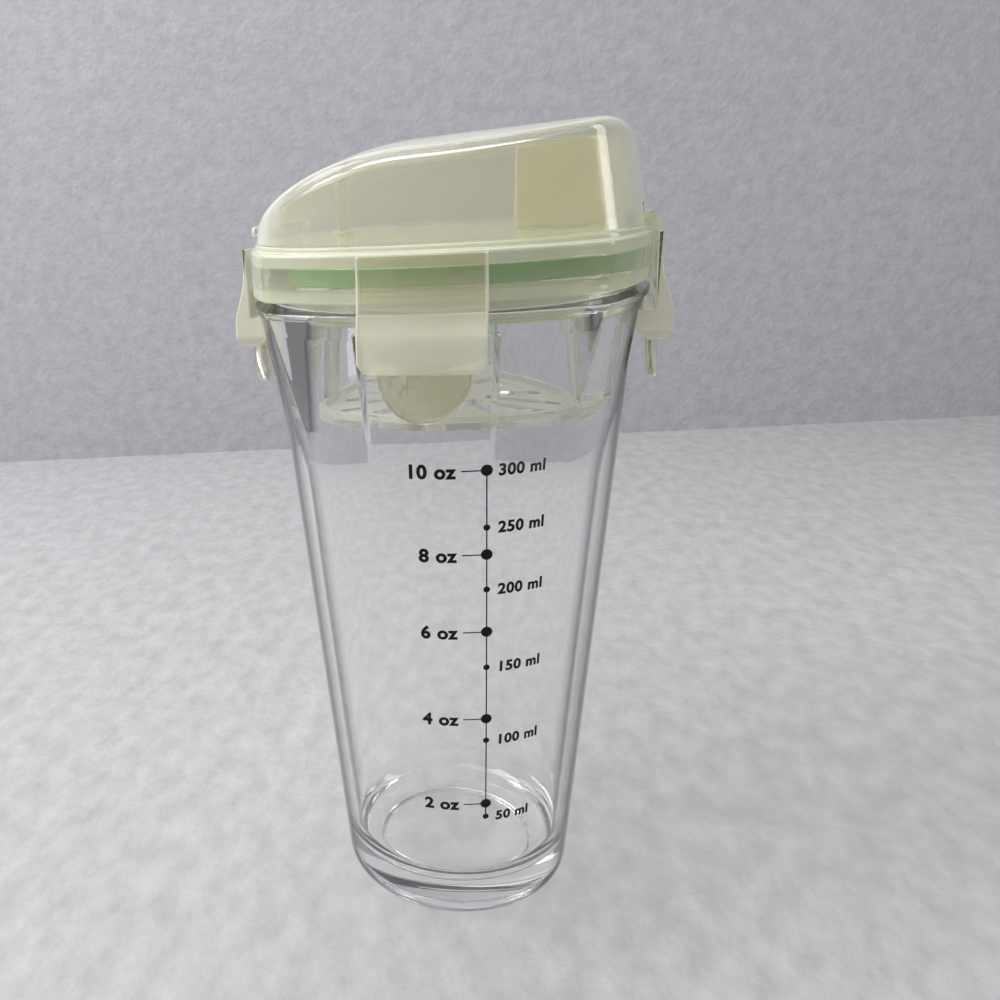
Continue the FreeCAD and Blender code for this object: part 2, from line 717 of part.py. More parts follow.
main()
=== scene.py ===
"""Studio scene of a salad dressing shaker: glass tumbler, snap lid with four clips, wedge flip cover.

Sizes are millimetres in the part's own frame: +Z up, the front clip at -Y, the low end of the
flip cover at -X and its hinge at +X. Each piece is a numpy surface that stands for a CAD node.
"""

import logging
import math
from dataclasses import dataclass
from enum import Enum
from typing import Optional, Sequence

import bpy
import numpy as np
from mathutils import Matrix, Vector

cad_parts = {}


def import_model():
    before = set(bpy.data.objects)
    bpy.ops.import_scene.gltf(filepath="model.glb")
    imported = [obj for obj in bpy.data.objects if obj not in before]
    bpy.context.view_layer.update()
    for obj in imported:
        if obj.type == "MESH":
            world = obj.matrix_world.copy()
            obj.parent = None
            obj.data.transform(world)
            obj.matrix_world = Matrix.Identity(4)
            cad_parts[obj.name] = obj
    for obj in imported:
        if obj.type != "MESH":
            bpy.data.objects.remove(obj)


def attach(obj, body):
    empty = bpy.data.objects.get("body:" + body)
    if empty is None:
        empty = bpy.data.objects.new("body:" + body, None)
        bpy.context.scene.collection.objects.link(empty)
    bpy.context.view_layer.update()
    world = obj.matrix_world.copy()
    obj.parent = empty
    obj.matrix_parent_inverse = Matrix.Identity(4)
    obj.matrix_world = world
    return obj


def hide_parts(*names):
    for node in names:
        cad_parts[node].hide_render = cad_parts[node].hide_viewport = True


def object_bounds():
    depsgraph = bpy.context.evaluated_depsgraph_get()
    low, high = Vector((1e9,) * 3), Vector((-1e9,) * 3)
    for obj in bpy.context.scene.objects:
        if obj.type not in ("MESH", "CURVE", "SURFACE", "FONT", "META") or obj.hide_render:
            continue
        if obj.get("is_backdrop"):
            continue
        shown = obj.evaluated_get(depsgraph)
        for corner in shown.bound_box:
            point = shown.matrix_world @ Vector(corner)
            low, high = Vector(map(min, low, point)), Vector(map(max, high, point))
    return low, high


MM = 0.001
MILK = "milk"
POLE = 0.6
NOISE_MIDDLE = (0.3, 0.7)
CAUGHT_SHARE = 0.2
CAUGHT_DEPTH = 2.5
CORNER_SHARE = 0.62
GUARD_OF_CUT = 0.12
GUARD_OF_SIDE = 0.1
LOG = logging.getLogger("shaker")
Piece = bpy.types.Object
Socket = bpy.types.NodeSocket


class Cut(Enum):
    """How one closed form is combined with another."""

    JOIN = "UNION"
    TAKE_AWAY = "DIFFERENCE"


class Body(Enum):
    """The moving bodies that the pieces ride on."""

    VESSEL = "vessel"
    COVER = "cover"


# Surface helpers


def blend_step(value: np.ndarray, low: float, high: float) -> np.ndarray:
    """Smooth change from 0 at low to 1 at high: 3t squared minus 2t cubed."""
    t = np.clip((value - low) / (high - low), 0.0, 1.0)
    return t * t * (3.0 - 2.0 * t)


def soft_least(values: Sequence[np.ndarray], soft: float) -> np.ndarray:
    """Least of several values with rounded changeovers: minus soft times the log of summed exponentials.

    Args:
        values: arrays of one shape.
        soft: length over which two values blend.

    Returns:
        The blended least value.
    """
    return -soft * np.logaddexp.reduce([-value / soft for value in values])


def turns(per_quarter: Sequence[tuple[float, float, int]]) -> np.ndarray:
    """Angles round the axis, in radians, from runs of degrees (start, stop, count) in one quarter."""
    quarter = np.concatenate([np.linspace(a, b, n, endpoint=False) for a, b, n in per_quarter])
    return np.radians(np.concatenate([quarter + 90.0 * k for k in range(4)]))


def circle(count: int) -> np.ndarray:
    """Angles of points spread evenly once round."""
    return np.linspace(0, 2 * math.pi, count, endpoint=False)


def grid(*parts: np.ndarray) -> np.ndarray:
    """Points whose parts are numbers or arrays that spread over one another."""
    return np.stack(np.broadcast_arrays(*parts), -1)


def around(angle: np.ndarray, radius: np.ndarray, height: np.ndarray) -> np.ndarray:
    """Points round the Z axis: x = r cos a, y = r sin a, z = height."""
    return grid(radius * np.cos(angle), radius * np.sin(angle), height)


def bow_reach(angle: np.ndarray, centre: Sequence[float], bow: np.ndarray) -> np.ndarray:
    """Distance from the axis along each angle to a round wall: c.u + sqrt(bow^2 - c.c + (c.u)^2).

    Args:
        angle: angles round the axis.
        centre: middle of the wall's circle, across and along.
        bow: radius of the wall.

    Returns:
        The distance at each angle.
    """
    along = centre[0] * np.cos(angle) + centre[1] * np.sin(angle)
    return along + np.sqrt(bow**2 - centre[0] ** 2 - centre[1] ** 2 + along**2)


def bowed_radius(angle: np.ndarray, half: float, bow: float = 63.0, soft: float = 0.2) -> np.ndarray:
    """Radius of a square outline with four bowed sides: the soft least of the four walls' distances.

    Args:
        angle: angles round the axis.
        half: distance of each side's middle from the axis.
        bow: radius of each side.
        soft: rounding of the corners.

    Returns:
        The radius at each angle.
    """
    offset = bow - half
    centres = ((offset, 0.0), (-offset, 0.0), (0.0, offset), (0.0, -offset))
    return soft_least([bow_reach(angle, centre, bow) for centre in centres], soft)


def soft_corners(corners: np.ndarray, cuts: Sequence[float], steps: int = 6,
                 loop: bool = False) -> np.ndarray:
    """Path with rounded corners, each a quadratic curve from one cut before it to one cut after it.

    Args:
        corners: corner points, (count, columns, 2 or 3).
        cuts: length cut off each side of a corner, one for each corner.
        steps: points on each rounded corner.
        loop: whether the path closes on itself.

    Returns:
        Rows of points; a guard row stands just off both ends of every rounded corner.
    """
    cut = np.asarray(cuts, dtype=float)[:, None, None]
    sides = []
    for neighbour in (1, -1):
        toward = np.roll(corners, neighbour, axis=0) - corners
        length = np.linalg.norm(toward, axis=-1, keepdims=True) + 1e-9
        toward = toward / length
        reach = np.minimum(cut, CORNER_SHARE * length)
        end = corners + toward * reach
        guard = end + toward * np.minimum(GUARD_OF_CUT * reach, GUARD_OF_SIDE * length)
        sides.append((end[:, None], guard[:, None]))
    (start, guard_in), (end, guard_out) = sides
    t = np.linspace(0.0, 1.0, steps)[None, :, None, None]
    curve = (1 - t) ** 2 * start + 2 * t * (1 - t) * corners[:, None] + t * t * end
    rows = np.concatenate([guard_in, curve, guard_out], axis=1)
    if not loop:
        rows = rows[1:-1]
    rows = rows.reshape(-1, *corners.shape[1:])
    return rows if loop else np.concatenate([corners[:1], rows, corners[-1:]])


def lathe(angle: np.ndarray, profile: np.ndarray) -> np.ndarray:
    """Turns rows of (radius, height) about the Z axis."""
    return around(angle, profile[..., 0], profile[..., 1])


def spread(points: Sequence[tuple], angle: np.ndarray) -> np.ndarray:
    """Stacks corner points whose parts are numbers or arrays over the angles."""
    return np.stack([grid(*[part + 0.0 * angle for part in point]) for point in points])


def skin(name: str, rows: np.ndarray, poles: Sequence[Optional[Sequence[float]]] = (None, None),
         loop: bool = False, caps: bool = False) -> Piece:
    """Closes rows of points into a mesh; columns always close round.

    Args:
        name: name of the object.
        rows: points in millimetres, (rows, columns, 3).
        poles: point that closes the first row and the last row, or None.
        loop: whether the last row joins the first one.
        caps: whether the first and last rows are closed by flat faces.

    Returns:
        The new object, at the origin, with its faces outwards.
    """
    count, columns = rows.shape[:2]
    ring = np.arange(columns)
    after = np.roll(ring, -1)
    index = np.arange(count if loop else count - 1)[:, None]
    above = (index + 1) % count
    low, high = index * columns, above * columns
    quads = grid(low + ring, low + after, high + after, high + ring)
    points = rows.reshape(-1, 3)
    faces = quads.reshape(-1, 4).tolist()
    last = (count - 1) * columns
    if poles[0] is not None:
        faces += np.stack([np.full(columns, len(points)), after, ring], 1).tolist()
        points = np.concatenate([points, [poles[0]]])
    if poles[1] is not None:
        faces += np.stack([last + ring, last + after, np.full(columns, len(points))], 1).tolist()
        points = np.concatenate([points, [poles[1]]])
    if caps:
        faces += [ring[::-1].tolist(), (last + ring).tolist()]
    mesh = bpy.data.meshes.new(name)
    mesh.from_pydata((points * MM).tolist(), [], faces)
    face_outwards(mesh)
    return place(name, mesh)


def vertices(mesh: bpy.types.Mesh) -> np.ndarray:
    """The mesh's vertices in its own unit."""
    flat = np.empty(len(mesh.vertices) * 3)
    mesh.vertices.foreach_get("co", flat)
    return flat.reshape(-1, 3)


def face_outwards(mesh: bpy.types.Mesh) -> None:
    """Flips a closed mesh whose volume, summed over its triangles, comes out below zero."""
    mesh.calc_loop_triangles()
    corners = np.empty(len(mesh.loop_triangles) * 3, dtype=np.int32)
    mesh.loop_triangles.foreach_get("vertices", corners)
    a, b, c = vertices(mesh)[corners.reshape(-1, 3)].transpose(1, 0, 2)
    if np.einsum("ij,ij->", a, np.cross(b, c)) < 0:
        mesh.flip_normals()


def place(name: str, data: bpy.types.ID) -> Piece:
    """Puts a mesh, text, camera or lamp into the scene as an object at the origin."""
    piece = bpy.data.objects.new(name, data)
    bpy.context.scene.collection.objects.link(piece)
    return piece


def shade(piece: Piece, sharp: float = 38.0) -> None:
    """Smooth shading that keeps edges sharper than an angle, in degrees."""
    piece.data.shade_smooth()
    piece.data.set_sharp_from_angle(angle=math.radians(sharp))


def combine(piece: Piece, others: Sequence[Piece], how: Cut) -> None:
    """Joins other closed forms to a piece or takes them away, then removes them.

    Args:
        piece: the form that is kept.
        others: the forms that are used up.
        how: join or take away.
    """
    for other in others:
        modifier = piece.modifiers.new(other.name, "BOOLEAN")
        modifier.operation = how.value
        modifier.solver = "MANIFOLD"
        modifier.object = other
    graph = bpy.context.evaluated_depsgraph_get()
    mesh = bpy.data.meshes.new_from_object(piece.evaluated_get(graph))
    piece.modifiers.clear()
    piece.data = mesh
    for other in others:
        bpy.data.objects.remove(other)


def make_milky(piece: Piece, amount: np.ndarray) -> None:
    """Keeps how milky each vertex is, from 0 to 1, for the plastic finishes."""
    mark = piece.data.attributes.new(MILK, "FLOAT", "POINT")
    mark.data.foreach_set("value", amount.astype(np.float32))


def prism(name: str, loop: np.ndarray, start: Vector, length: float) -> Piece:
    """Carries a closed outline of (x, z) points straight along Y and caps both ends.

    Args:
        name: name of the object.
        loop: outline points, (count, 2).
        start: point that the outline's own origin starts from.
        length: distance travelled.

    Returns:
        The closed prism.
    """
    reach = start[1] + np.array([0.0, length])[:, None]
    return skin(name, grid(start[0] + loop[:, 0], reach, start[2] + loop[:, 1]), caps=True)


def cross_rod(name: str, centre: Sequence[float], radius: float, ends: Sequence[float], count: int) -> Piece:
    """Round rod along Y.

    Args:
        name: name of the object.
        centre: place of its axis, (x, z).
        radius: radius of the rod.
        ends: its two ends along Y.
        count: points once round.

    Returns:
        The closed rod.
    """
    angle = circle(count)
    x, z = centre[0] + radius * np.cos(angle), centre[1] + radius * np.sin(angle)
    return skin(name, grid(x, np.array(ends)[:, None], z), caps=True)


def box_outline(angle: np.ndarray, half_x: float, half_y: float, soft: float) -> np.ndarray:
    """Rounded rectangle about the origin: the lesser of half_x over cosine and half_y over sine."""
    cosine = np.abs(np.cos(angle)) + 1e-6
    sine = np.abs(np.sin(angle)) + 1e-6
    radius = soft_least([half_x / cosine, half_y / sine], soft)
    return np.stack([radius * np.cos(angle), radius * np.sin(angle)], -1)


# Finishes


class Paint:
    """Small helper that adds nodes to a material around its shader."""

    def __init__(self, name: str) -> None:
        """Starts a material with one shader node."""
        self.material = bpy.data.materials.new(name)
        self.material.use_nodes = True
        self.nodes = self.material.node_tree.nodes
        self.links = self.material.node_tree.links
        self.shader = self.nodes["Principled BSDF"]
        self.place = self.nodes.new("ShaderNodeTexCoord").outputs["Object"]

    def feed(self, socket: Socket, value) -> None:
        """Links a value to a socket, or sets a plain number or colour on it."""
        if isinstance(value, Socket):
            self.links.new(value, socket)
        else:
            socket.default_value = value

    def node(self, kind: str, **inputs) -> bpy.types.Node:
        """One node with its inputs; an underscore in an input's name stands for a space."""
        node = self.nodes.new("ShaderNode" + kind)
        for key, value in inputs.items():
            self.feed(node.inputs[key.replace("_", " ")], value)
        return node

    def set(self, **values) -> None:
        """Links or sets values on the shader's own sockets, named as in node."""
        for key, value in values.items():
            self.feed(self.shader.inputs[key.replace("_", " ")], value)

    def math(self, operation: str, *values) -> Socket:
        """Result of one math node over linked values and plain numbers."""
        node = self.nodes.new("ShaderNodeMath")
        node.operation = operation
        for socket, value in zip(node.inputs, values):
            self.feed(socket, value)
        return node.outputs["Value"]

    def fit(self, value: Socket, source: Sequence[float], target: Sequence[float]) -> Socket:
        """Value moved from one range to another and kept within it."""
        node = self.node("MapRange", Value=value, From_Min=source[0], From_Max=source[1],
                         To_Min=target[0], To_Max=target[1])
        return node.outputs["Result"]

    def noise(self, scale: float, detail: float, stretch: Sequence[float] = (1, 1, 1)) -> Socket:
        """Cloudy noise on the piece's own coordinates, in features per metre."""
        mapping = self.node("Mapping", Scale=stretch, Vector=self.place)
        noise = self.node("TexNoise", Scale=scale, Detail=detail, Vector=mapping.outputs["Vector"])
        return noise.outputs["Fac"]

    def ramp(self, value: Socket, stops: Sequence[tuple[float, Sequence[float]]]) -> Socket:
        """Colours that follow a value through two or more stops."""
        ramp = self.nodes.new("ShaderNodeValToRGB")
        elements = ramp.color_ramp.elements
        while len(elements) < len(stops):
            elements.new(1.0)
        for element, (position, colour) in zip(elements, stops):
            element.position = position
            element.color = (*colour, 1.0)
        self.links.new(value, ramp.inputs["Fac"])
        return ramp.outputs["Color"]

    def span(self, value: Socket, low: float, high: float) -> Socket:
        """Noise value, whose middle part is spread over a range."""
        return self.fit(value, NOISE_MIDDLE, (low, high))

    def specks(self, colour: Socket, scale: float, size: float, dark: Sequence[float],
               share: float) -> Socket:
        """Sparse dark specks: small spots round scattered points, shown in a share of the cells.

        Args:
            colour: colour under the specks.
            scale: cells per metre.
            size: radius of a speck as a part of a cell.
            dark: colour of a speck.
            share: share of the cells that hold one.

        Returns:
            The colour with specks.
        """
        cells = self.node("TexVoronoi", Scale=scale, Vector=self.place)
        near = self.math("LESS_THAN", cells.outputs["Distance"], size)
        parts = self.node("SeparateColor", Color=cells.outputs["Color"])
        chosen = self.math("LESS_THAN", parts.outputs["Red"], share)
        mix = self.nodes.new("ShaderNodeMix")
        mix.data_type = "RGBA"
        self.feed(mix.inputs["Factor"], self.math("MULTIPLY", near, chosen))
        self.feed(mix.inputs["A"], colour)
        self.feed(mix.inputs["B"], (*dark, 1.0))
        return mix.outputs["Result"]

    def bump(self, height: Socket, strength: float, depth: float) -> None:
        """Surface relief in metres from a height value."""
        self.set(Normal=self.node("Bump", Strength=strength, Distance=depth, Height=height).outputs["Normal"])

    def edge(self, front: float, rim: float, start: float = 0.35, end: float = 0.95) -> Socket:
        """Value from front, where a surface is faced or seen from inside, to rim, where it is edge on."""
        facing = self.node("LayerWeight").outputs["Facing"]
        inside = self.node("NewGeometry").outputs["Backfacing"]
        return self.fit(self.math("SUBTRACT", facing, inside), (start, end), (front, rim))

    def milk(self, clear: Socket, share: float) -> Socket:
        """Takes a share off a clearness where the piece's milk attribute is 1."""
        mark = self.node("Attribute")
        mark.attribute_name = MILK
        return self.math("MULTIPLY", clear, self.math("MULTIPLY_ADD", mark.outputs["Fac"], -share, 1.0))

    def pass_light(self, share: float) -> None:
        """Lets a share of the light through to the surfaces behind, and some out where it is caught.

        The surface is opaque to sight, clear to shadow and diffuse rays, and partly clear to rays that have
        been reflected three times.
        """
        path = self.node("LightPath").outputs
        caught = self.math("GREATER_THAN", path["Glossy Depth"], CAUGHT_DEPTH)
        passing = self.math("MULTIPLY", caught, CAUGHT_SHARE)
        for kind in ("Is Shadow Ray", "Is Diffuse Ray"):
            passing = self.math("MAXIMUM", passing, path[kind])
        self.set(Alpha=self.math("MULTIPLY_ADD", passing, -share, 1.0))


@dataclass(frozen=True)
class ClearGlass:
    """Pressed clear glass: a painted dark edge shade where seen along its surface, with faint waviness and
    handling marks.
    """

    slot: str = "clear_glass"
    tint: tuple = (0.98, 0.988, 0.984)
    # rim is the painted dark edge shade: the near black colour the glass takes where it is seen edge on
    rim: tuple = (0.02, 0.022, 0.022)
    ior: float = 1.5
    light: float = 0.9

    def make(self) -> bpy.types.Material:
        """Builds the material."""
        paint = Paint(self.slot)
        paint.set(Transmission_Weight=1.0, IOR=self.ior)
        # Painted dark edge shade: the base colour turns to the rim colour as the surface turns edge on
        seen_along = paint.edge(0.0, 1.0, 0.0, 1.0)
        paint.set(Base_Color=paint.ramp(seen_along, [(0.62, self.tint), (0.80, self.rim)]))
        paint.set(Roughness=paint.span(paint.noise(220.0, 4.0), 0.0, 0.02))
        paint.bump(paint.noise(60.0, 1.0, (1, 1, 0.4)), 0.06, 0.0006)
        paint.pass_light(self.light)
        return paint.material


@dataclass(frozen=True)
class AgedPlastic:
    """Translucent polypropylene that has yellowed: clear when faced, milky along its edges, with specks."""

    slot: str
    pale: tuple
    deep: tuple
    clear: float
    rough: tuple
    milky: float = 0.4
    cloud: float = 0.8
    light: float = 0.6
    speck_share: float = 0.05
    ior: float = 1.45

    def make(self) -> bpy.types.Material:
        """Builds the material."""
        paint = Paint(self.slot)
        paint.set(IOR=self.ior)
        paint.set(Transmission_Weight=paint.milk(paint.edge(self.clear, self.milky), self.cloud))
        colour = paint.ramp(paint.noise(55.0, 4.0), [(0.3, self.pale), (0.72, self.deep)])
        colour = paint.specks(colour, 120.0, 0.055, (0.03, 0.025, 0.02), self.speck_share)
        paint.set(Base_Color=colour)
        paint.set(Roughness=paint.span(paint.noise(140.0, 5.0), *self.rough))
        paint.bump(paint.noise(500.0, 3.0), 0.12, 0.0002)
        paint.pass_light(self.light)
        return paint.material


@dataclass(frozen=True)
class SoftRubber:
    """Matt silicone or soft plastic with a mottled colour and a fine grain."""

    slot: str
    pale: tuple
    deep: tuple
    rough: tuple = (0.45, 0.6)
    ior: float = 1.42

    def make(self) -> bpy.types.Material:
        """Builds the material."""
        paint = Paint(self.slot)
        paint.set(IOR=self.ior)
        paint.set(Base_Color=paint.ramp(paint.noise(90.0, 4.0), [(0.3, self.pale), (0.7, self.deep)]))
        paint.set(Roughness=paint.span(paint.noise(300.0, 4.0), *self.rough))
        paint.bump(paint.noise(900.0, 3.0), 0.25, 0.0001)
        return paint.material


@dataclass(frozen=True)
class ScreenInk:
    """Black screen-printed ink, slightly worn."""

    name: str = "scale_ink"

    def make(self) -> bpy.types.Material:
        """Builds the material."""
        paint = Paint(self.name)
        stops = [(0.35, (0.004, 0.004, 0.005)), (0.8, (0.015, 0.015, 0.015))]
        paint.set(Base_Color=paint.ramp(paint.noise(700.0, 4.0), stops), Specular_IOR_Level=0.2)
        paint.set(Roughness=paint.span(paint.noise(900.0, 3.0), 0.35, 0.55))
        paint.bump(paint.noise(1500.0, 2.0), 0.2, 0.00005)
        return paint.material


@dataclass(frozen=True)
class PaperSweep:
    """Pale grey mottled paper for the floor and the backdrop."""

    name: str
    pale: tuple
    deep: tuple

    def make(self) -> bpy.types.Material:
        """Builds the material."""
        paint = Paint(self.name)
        cloud = paint.noise(150.0, 12.0, (1, 0.6, 1))
        paint.set(Base_Color=paint.ramp(cloud, [(0.3, self.deep), (0.7, self.pale)]))
        paint.set(Roughness=0.85)
        paint.bump(paint.noise(330.0, 8.0), 0.6, 0.001)
        return paint.material


GLASS = ClearGlass()
LID_PLASTIC = AgedPlastic("lid_plastic", (0.91, 0.925, 0.74), (0.89, 0.90, 0.70), 0.88, (0.03, 0.08), 0.5)
COVER_PLASTIC = AgedPlastic("cover_plastic", (0.94, 0.935, 0.84), (0.92, 0.91, 0.79), 0.84, (0.04, 0.10),
                            milky=0.12, speck_share=0.12)
CLIP_PLASTIC = AgedPlastic("clip_plastic", (0.92, 0.90, 0.75), (0.89, 0.87, 0.69), 0.96, (0.04, 0.12),
                           light=0.75)
INSERT_PLASTIC = AgedPlastic("insert_plastic", (0.94, 0.935, 0.85), (0.92, 0.91, 0.80), 0.85, (0.06, 0.14))
STOPPER_PLASTIC = AgedPlastic("stopper_plastic", (0.93, 0.90, 0.66), (0.88, 0.84, 0.57), 0.5, (0.12, 0.25),
                              milky=0.3, light=0.75)
SEAL_SILICONE = SoftRubber("seal_green", (0.17, 0.43, 0.14), (0.12, 0.35, 0.10))
PIN_PLASTIC = SoftRubber("pin_plastic", (0.78, 0.76, 0.62), (0.70, 0.67, 0.50))
INK = ScreenInk()


class Workshop:
    """Keeps each finish's material and attaches finished pieces to their bodies."""

    def __init__(self) -> None:
        """Starts with no materials made."""
        self.made: dict = {}

    def material(self, finish) -> bpy.types.Material:
        """The material of a finish, made once."""
        if finish not in self.made:
            self.made[finish] = finish.make()
        return self.made[finish]

    def deliver(self, piece: Piece, finish, body: str, node: Optional[str] = None) -> None:
        """Gives a piece its finish and its body, and hides the CAD node that it stands for.

        Args:
            piece: the finished piece.
            finish: its finish.
            body: name of the body that it rides on.
            node: CAD node that it stands for, if any.
        """
        piece.data.materials.clear()
        piece.data.materials.append(self.material(finish))
        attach(piece, body)
        if node:
            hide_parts(node)
        hasattr(finish, "slot")
        LOG.info("%s: %d faces on %s", piece.name, len(piece.data.polygons), body)


# Sub-assemblies


@dataclass
class GlassTumbler:
    """Tapered tumbler with a thick base, bowed square collar with a thin lip, rim and four clip pockets."""

    base_radius: float = 27.65
    taper: float = 0.084
    wall: float = 3.1
    floor: float = 8.0
    floor_round: float = 8.0
    heel_cut: float = 4.7
    punt_radius: float = 20.5
    punt_depth: float = 1.4
    flare_start: float = 116.0
    flare_bend: float = 5.0
    ledge: float = 142.7
    lip_under: float = 145.2
    collar_half: float = 41.3
    flange_half: float = 42.1
    flange_top: float = 146.5
    rim_radius: float = 39.47
    rim_top: float = 151.4
    pocket_start: float = 18.2
    pocket_end: float = 19.6
    corner_step: float = 0.8

    def radius(self, height: float) -> float:
        """Outer radius of the plain taper at a height."""
        return self.base_radius + self.taper * height

    def collar(self, angle: np.ndarray, height: float) -> np.ndarray:
        """Radius of a corner: straight from the round glass to the collar's bowed outline."""
        share = (height - self.flare_start) / (self.lip_under - self.flare_start)
        return self.radius(self.flare_start) * (1 - share) + share * bowed_radius(angle, self.collar_half)

    def build(self, shop: Workshop) -> None:
        """Turns the profile; inside each pocket's angle the collar's corner gives way to the plain taper."""
        angle = turns([(-45, -42, 8), (-42, -22, 12), (-22, -17, 26), (-17, 17, 24), (17, 22, 26),
                       (22, 42, 12), (42, 45, 8)])
        local = np.degrees(np.abs((angle + math.pi / 4) % (math.pi / 2) - math.pi / 4))
        solid = np.clip((local - self.pocket_start) / (self.pocket_end - self.pocket_start), 0.0, 1.0)
        step = self.corner_step * solid
        plain = self.radius(self.ledge)
        under = plain + solid * (self.collar(angle, self.ledge - self.corner_step) - plain)
        lip = bowed_radius(angle, self.flange_half)
        inside = self.radius(self.rim_top) - self.wall
        corner = self.radius(self.floor) - self.wall
        corners = spread([
            (POLE, self.punt_depth),
            (self.punt_radius - self.punt_depth, self.punt_depth),
            (self.punt_radius, 0.0),
            (self.radius(0.0), 0.0),
            (self.radius(self.flare_start), self.flare_start),
            (under, self.ledge - step),
            (self.collar(angle, self.ledge), self.ledge),
            (self.collar(angle, self.lip_under), self.lip_under),
            (lip, self.lip_under),
            (lip, self.flange_top),
            (self.rim_radius, self.flange_top),
            (self.rim_radius, self.rim_top),
            (inside, self.rim_top),
            (corner, self.floor),
            (POLE, self.floor),
        ], angle)
        cuts = [0, 0.7, 0.7, self.heel_cut, self.flare_bend, 0.3, 0.3, 0.25, 0.45, 0.45, 0.4, 0.9, 0.9,
                self.floor_round, 0]
        rows = lathe(angle, soft_corners(corners, cuts, 9))
        piece = skin("glass_body", rows, ((0, 0, self.punt_depth), (0, 0, self.floor)))
        shade(piece, 50)
        shop.deliver(piece, GLASS, Body.VESSEL.value, "glass_tumbler")


@dataclass
class PrintedScale:
    """Measuring scale on the glass: a line with dots, ounces on the left and millilitres on the right."""

    glass: GlassTumbler
    azimuth: float = 20.1
    drift: float = -0.026
    lift: float = 0.03
    thick: float = 0.04
    ml_heights: tuple = ((50, 30.5), (100, 51.5), (150, 70.3), (200, 89.0), (250, 103.0), (300, 115.3))
    oz_heights: tuple = ((2, 34.2), (4, 57.2), (6, 79.0), (8, 97.0), (10, 115.3))
    oz_dot: float = 1.2
    ml_dot: float = 0.7
    line_width: float = 0.27
    leader: tuple = (-5.0, -1.2)
    leader_half: float = 0.13
    oz_size: float = 4.05
    oz_right: float = -6.2
    oz_bold: float = 0.17
    ml_size: float = 3.4
    ml_left: float = 2.3
    ml_bold: float = 0.13
    ml_lean: float = 0.04
    letter_space: float = 1.08
    figure_middle: float = 0.36

    def wrap(self, points: np.ndarray) -> np.ndarray:
        """Lays (across, up, out) points on the taper: across is arc length, the line drifts with height."""
        across, up, out = points.reshape(-1, 3).T
        radius = self.glass.radius(up)
        turn = np.radians(self.azimuth - 90.0 + self.drift * up) + across / radius
        return around(turn, radius + self.lift + out, up).reshape(points.shape)

    def disc(self, height: float, radius: float) -> np.ndarray:
        """Rows of a flat round dot: rings at the back edge, the front edge and near its middle."""
        angle = circle(40)
        size = np.array([0.02, 1.0, 1.0, 0.02])[:, None] * radius
        out = np.array([0.0, 0.0, 1.0, 1.0])[:, None] * self.thick
        return self.wrap(grid(size * np.cos(angle), height + size * np.sin(angle), out))

    def bar(self, left: float, right: float, low: float, high: float) -> np.ndarray:
        """Rows of a thin flat bar: rectangle loops that travel from left to right, or up."""
        wide = right - left > high - low
        step = np.linspace(0.0, 1.0, 13)[:, None]
        side = np.array([0.0, 1.0, 1.0, 0.0])[None]
        across = left + (right - left) * (step if wide else side)
        up = low + (high - low) * (side if wide else step)
        out = np.array([0.0, 0.0, 1.0, 1.0])[None] * self.thick
        return self.wrap(grid(across, up, out))

    def label(self, name: str, words: str, size: float, left: float, height: float, bold: float,
              lean: float, align: str) -> Piece:
        """One printed word group, made a mesh and laid on the glass.

        Args:
            name: name of the object.
            words: the figures and unit.
            size: letter size in millimetres.
            left: place of its left or right edge from the line.
            height: height of the middle of its figures.
            bold: how far the outlines are thickened.
            lean: slant of the letters.
            align: LEFT or RIGHT.

        Returns:
            The label as a mesh object.
        """
        curve = bpy.data.curves.new(name, "FONT")
        curve.body = words
        curve.size = size
        curve.offset = bold
        curve.shear = lean
        curve.align_x = align
        curve.space_character = self.letter_space
        curve.extrude = self.thick / 2
        curve.resolution_u = 5
        holder = place(name, curve)
        graph = bpy.context.evaluated_depsgraph_get()
        mesh = bpy.data.meshes.new_from_object(holder.evaluated_get(graph))
        bpy.data.objects.remove(holder)
        flat = vertices(mesh) + (left, height - self.figure_middle * size, self.thick / 2)
        mesh.vertices.foreach_set("co", (self.wrap(flat) * MM).ravel())
        mesh.update()
        return place(name, mesh)

    def build(self, shop: Workshop) -> None:
        """Prints the line, dots, leaders and labels."""
        parts = []
        for value, height in self.oz_heights:
            leader = self.bar(*self.leader, height - self.leader_half, height + self.leader_half)
            parts.append(skin(f"dot_oz_{value}", self.disc(height, self.oz_dot), caps=True))
            parts.append(skin(f"leader_oz_{value}", leader, caps=True))
            parts.append(self.label(f"label_oz_{value}", f"{value} oz", self.oz_size, self.oz_right, height,
                                    self.oz_bold, 0, "RIGHT"))
        for value, height in self.ml_heights:
            if value < self.ml_heights[-1][0]:
                parts.append(skin(f"dot_ml_{value}", self.disc(height, self.ml_dot), caps=True))
            parts.append(self.label(f"label_ml_{value}", f"{value} ml", self.ml_size, self.ml_left, height,
                                    self.ml_bold, self.ml_lean, "LEFT"))
        half = self.line_width / 2
        low, high = self.ml_heights[0][1], self.ml_heights[-1][1]
        parts.append(skin("scale_line", self.bar(-half, half, low, high), caps=True))
        for part in parts:
            shop.deliver(part, INK, Body.VESSEL.value)


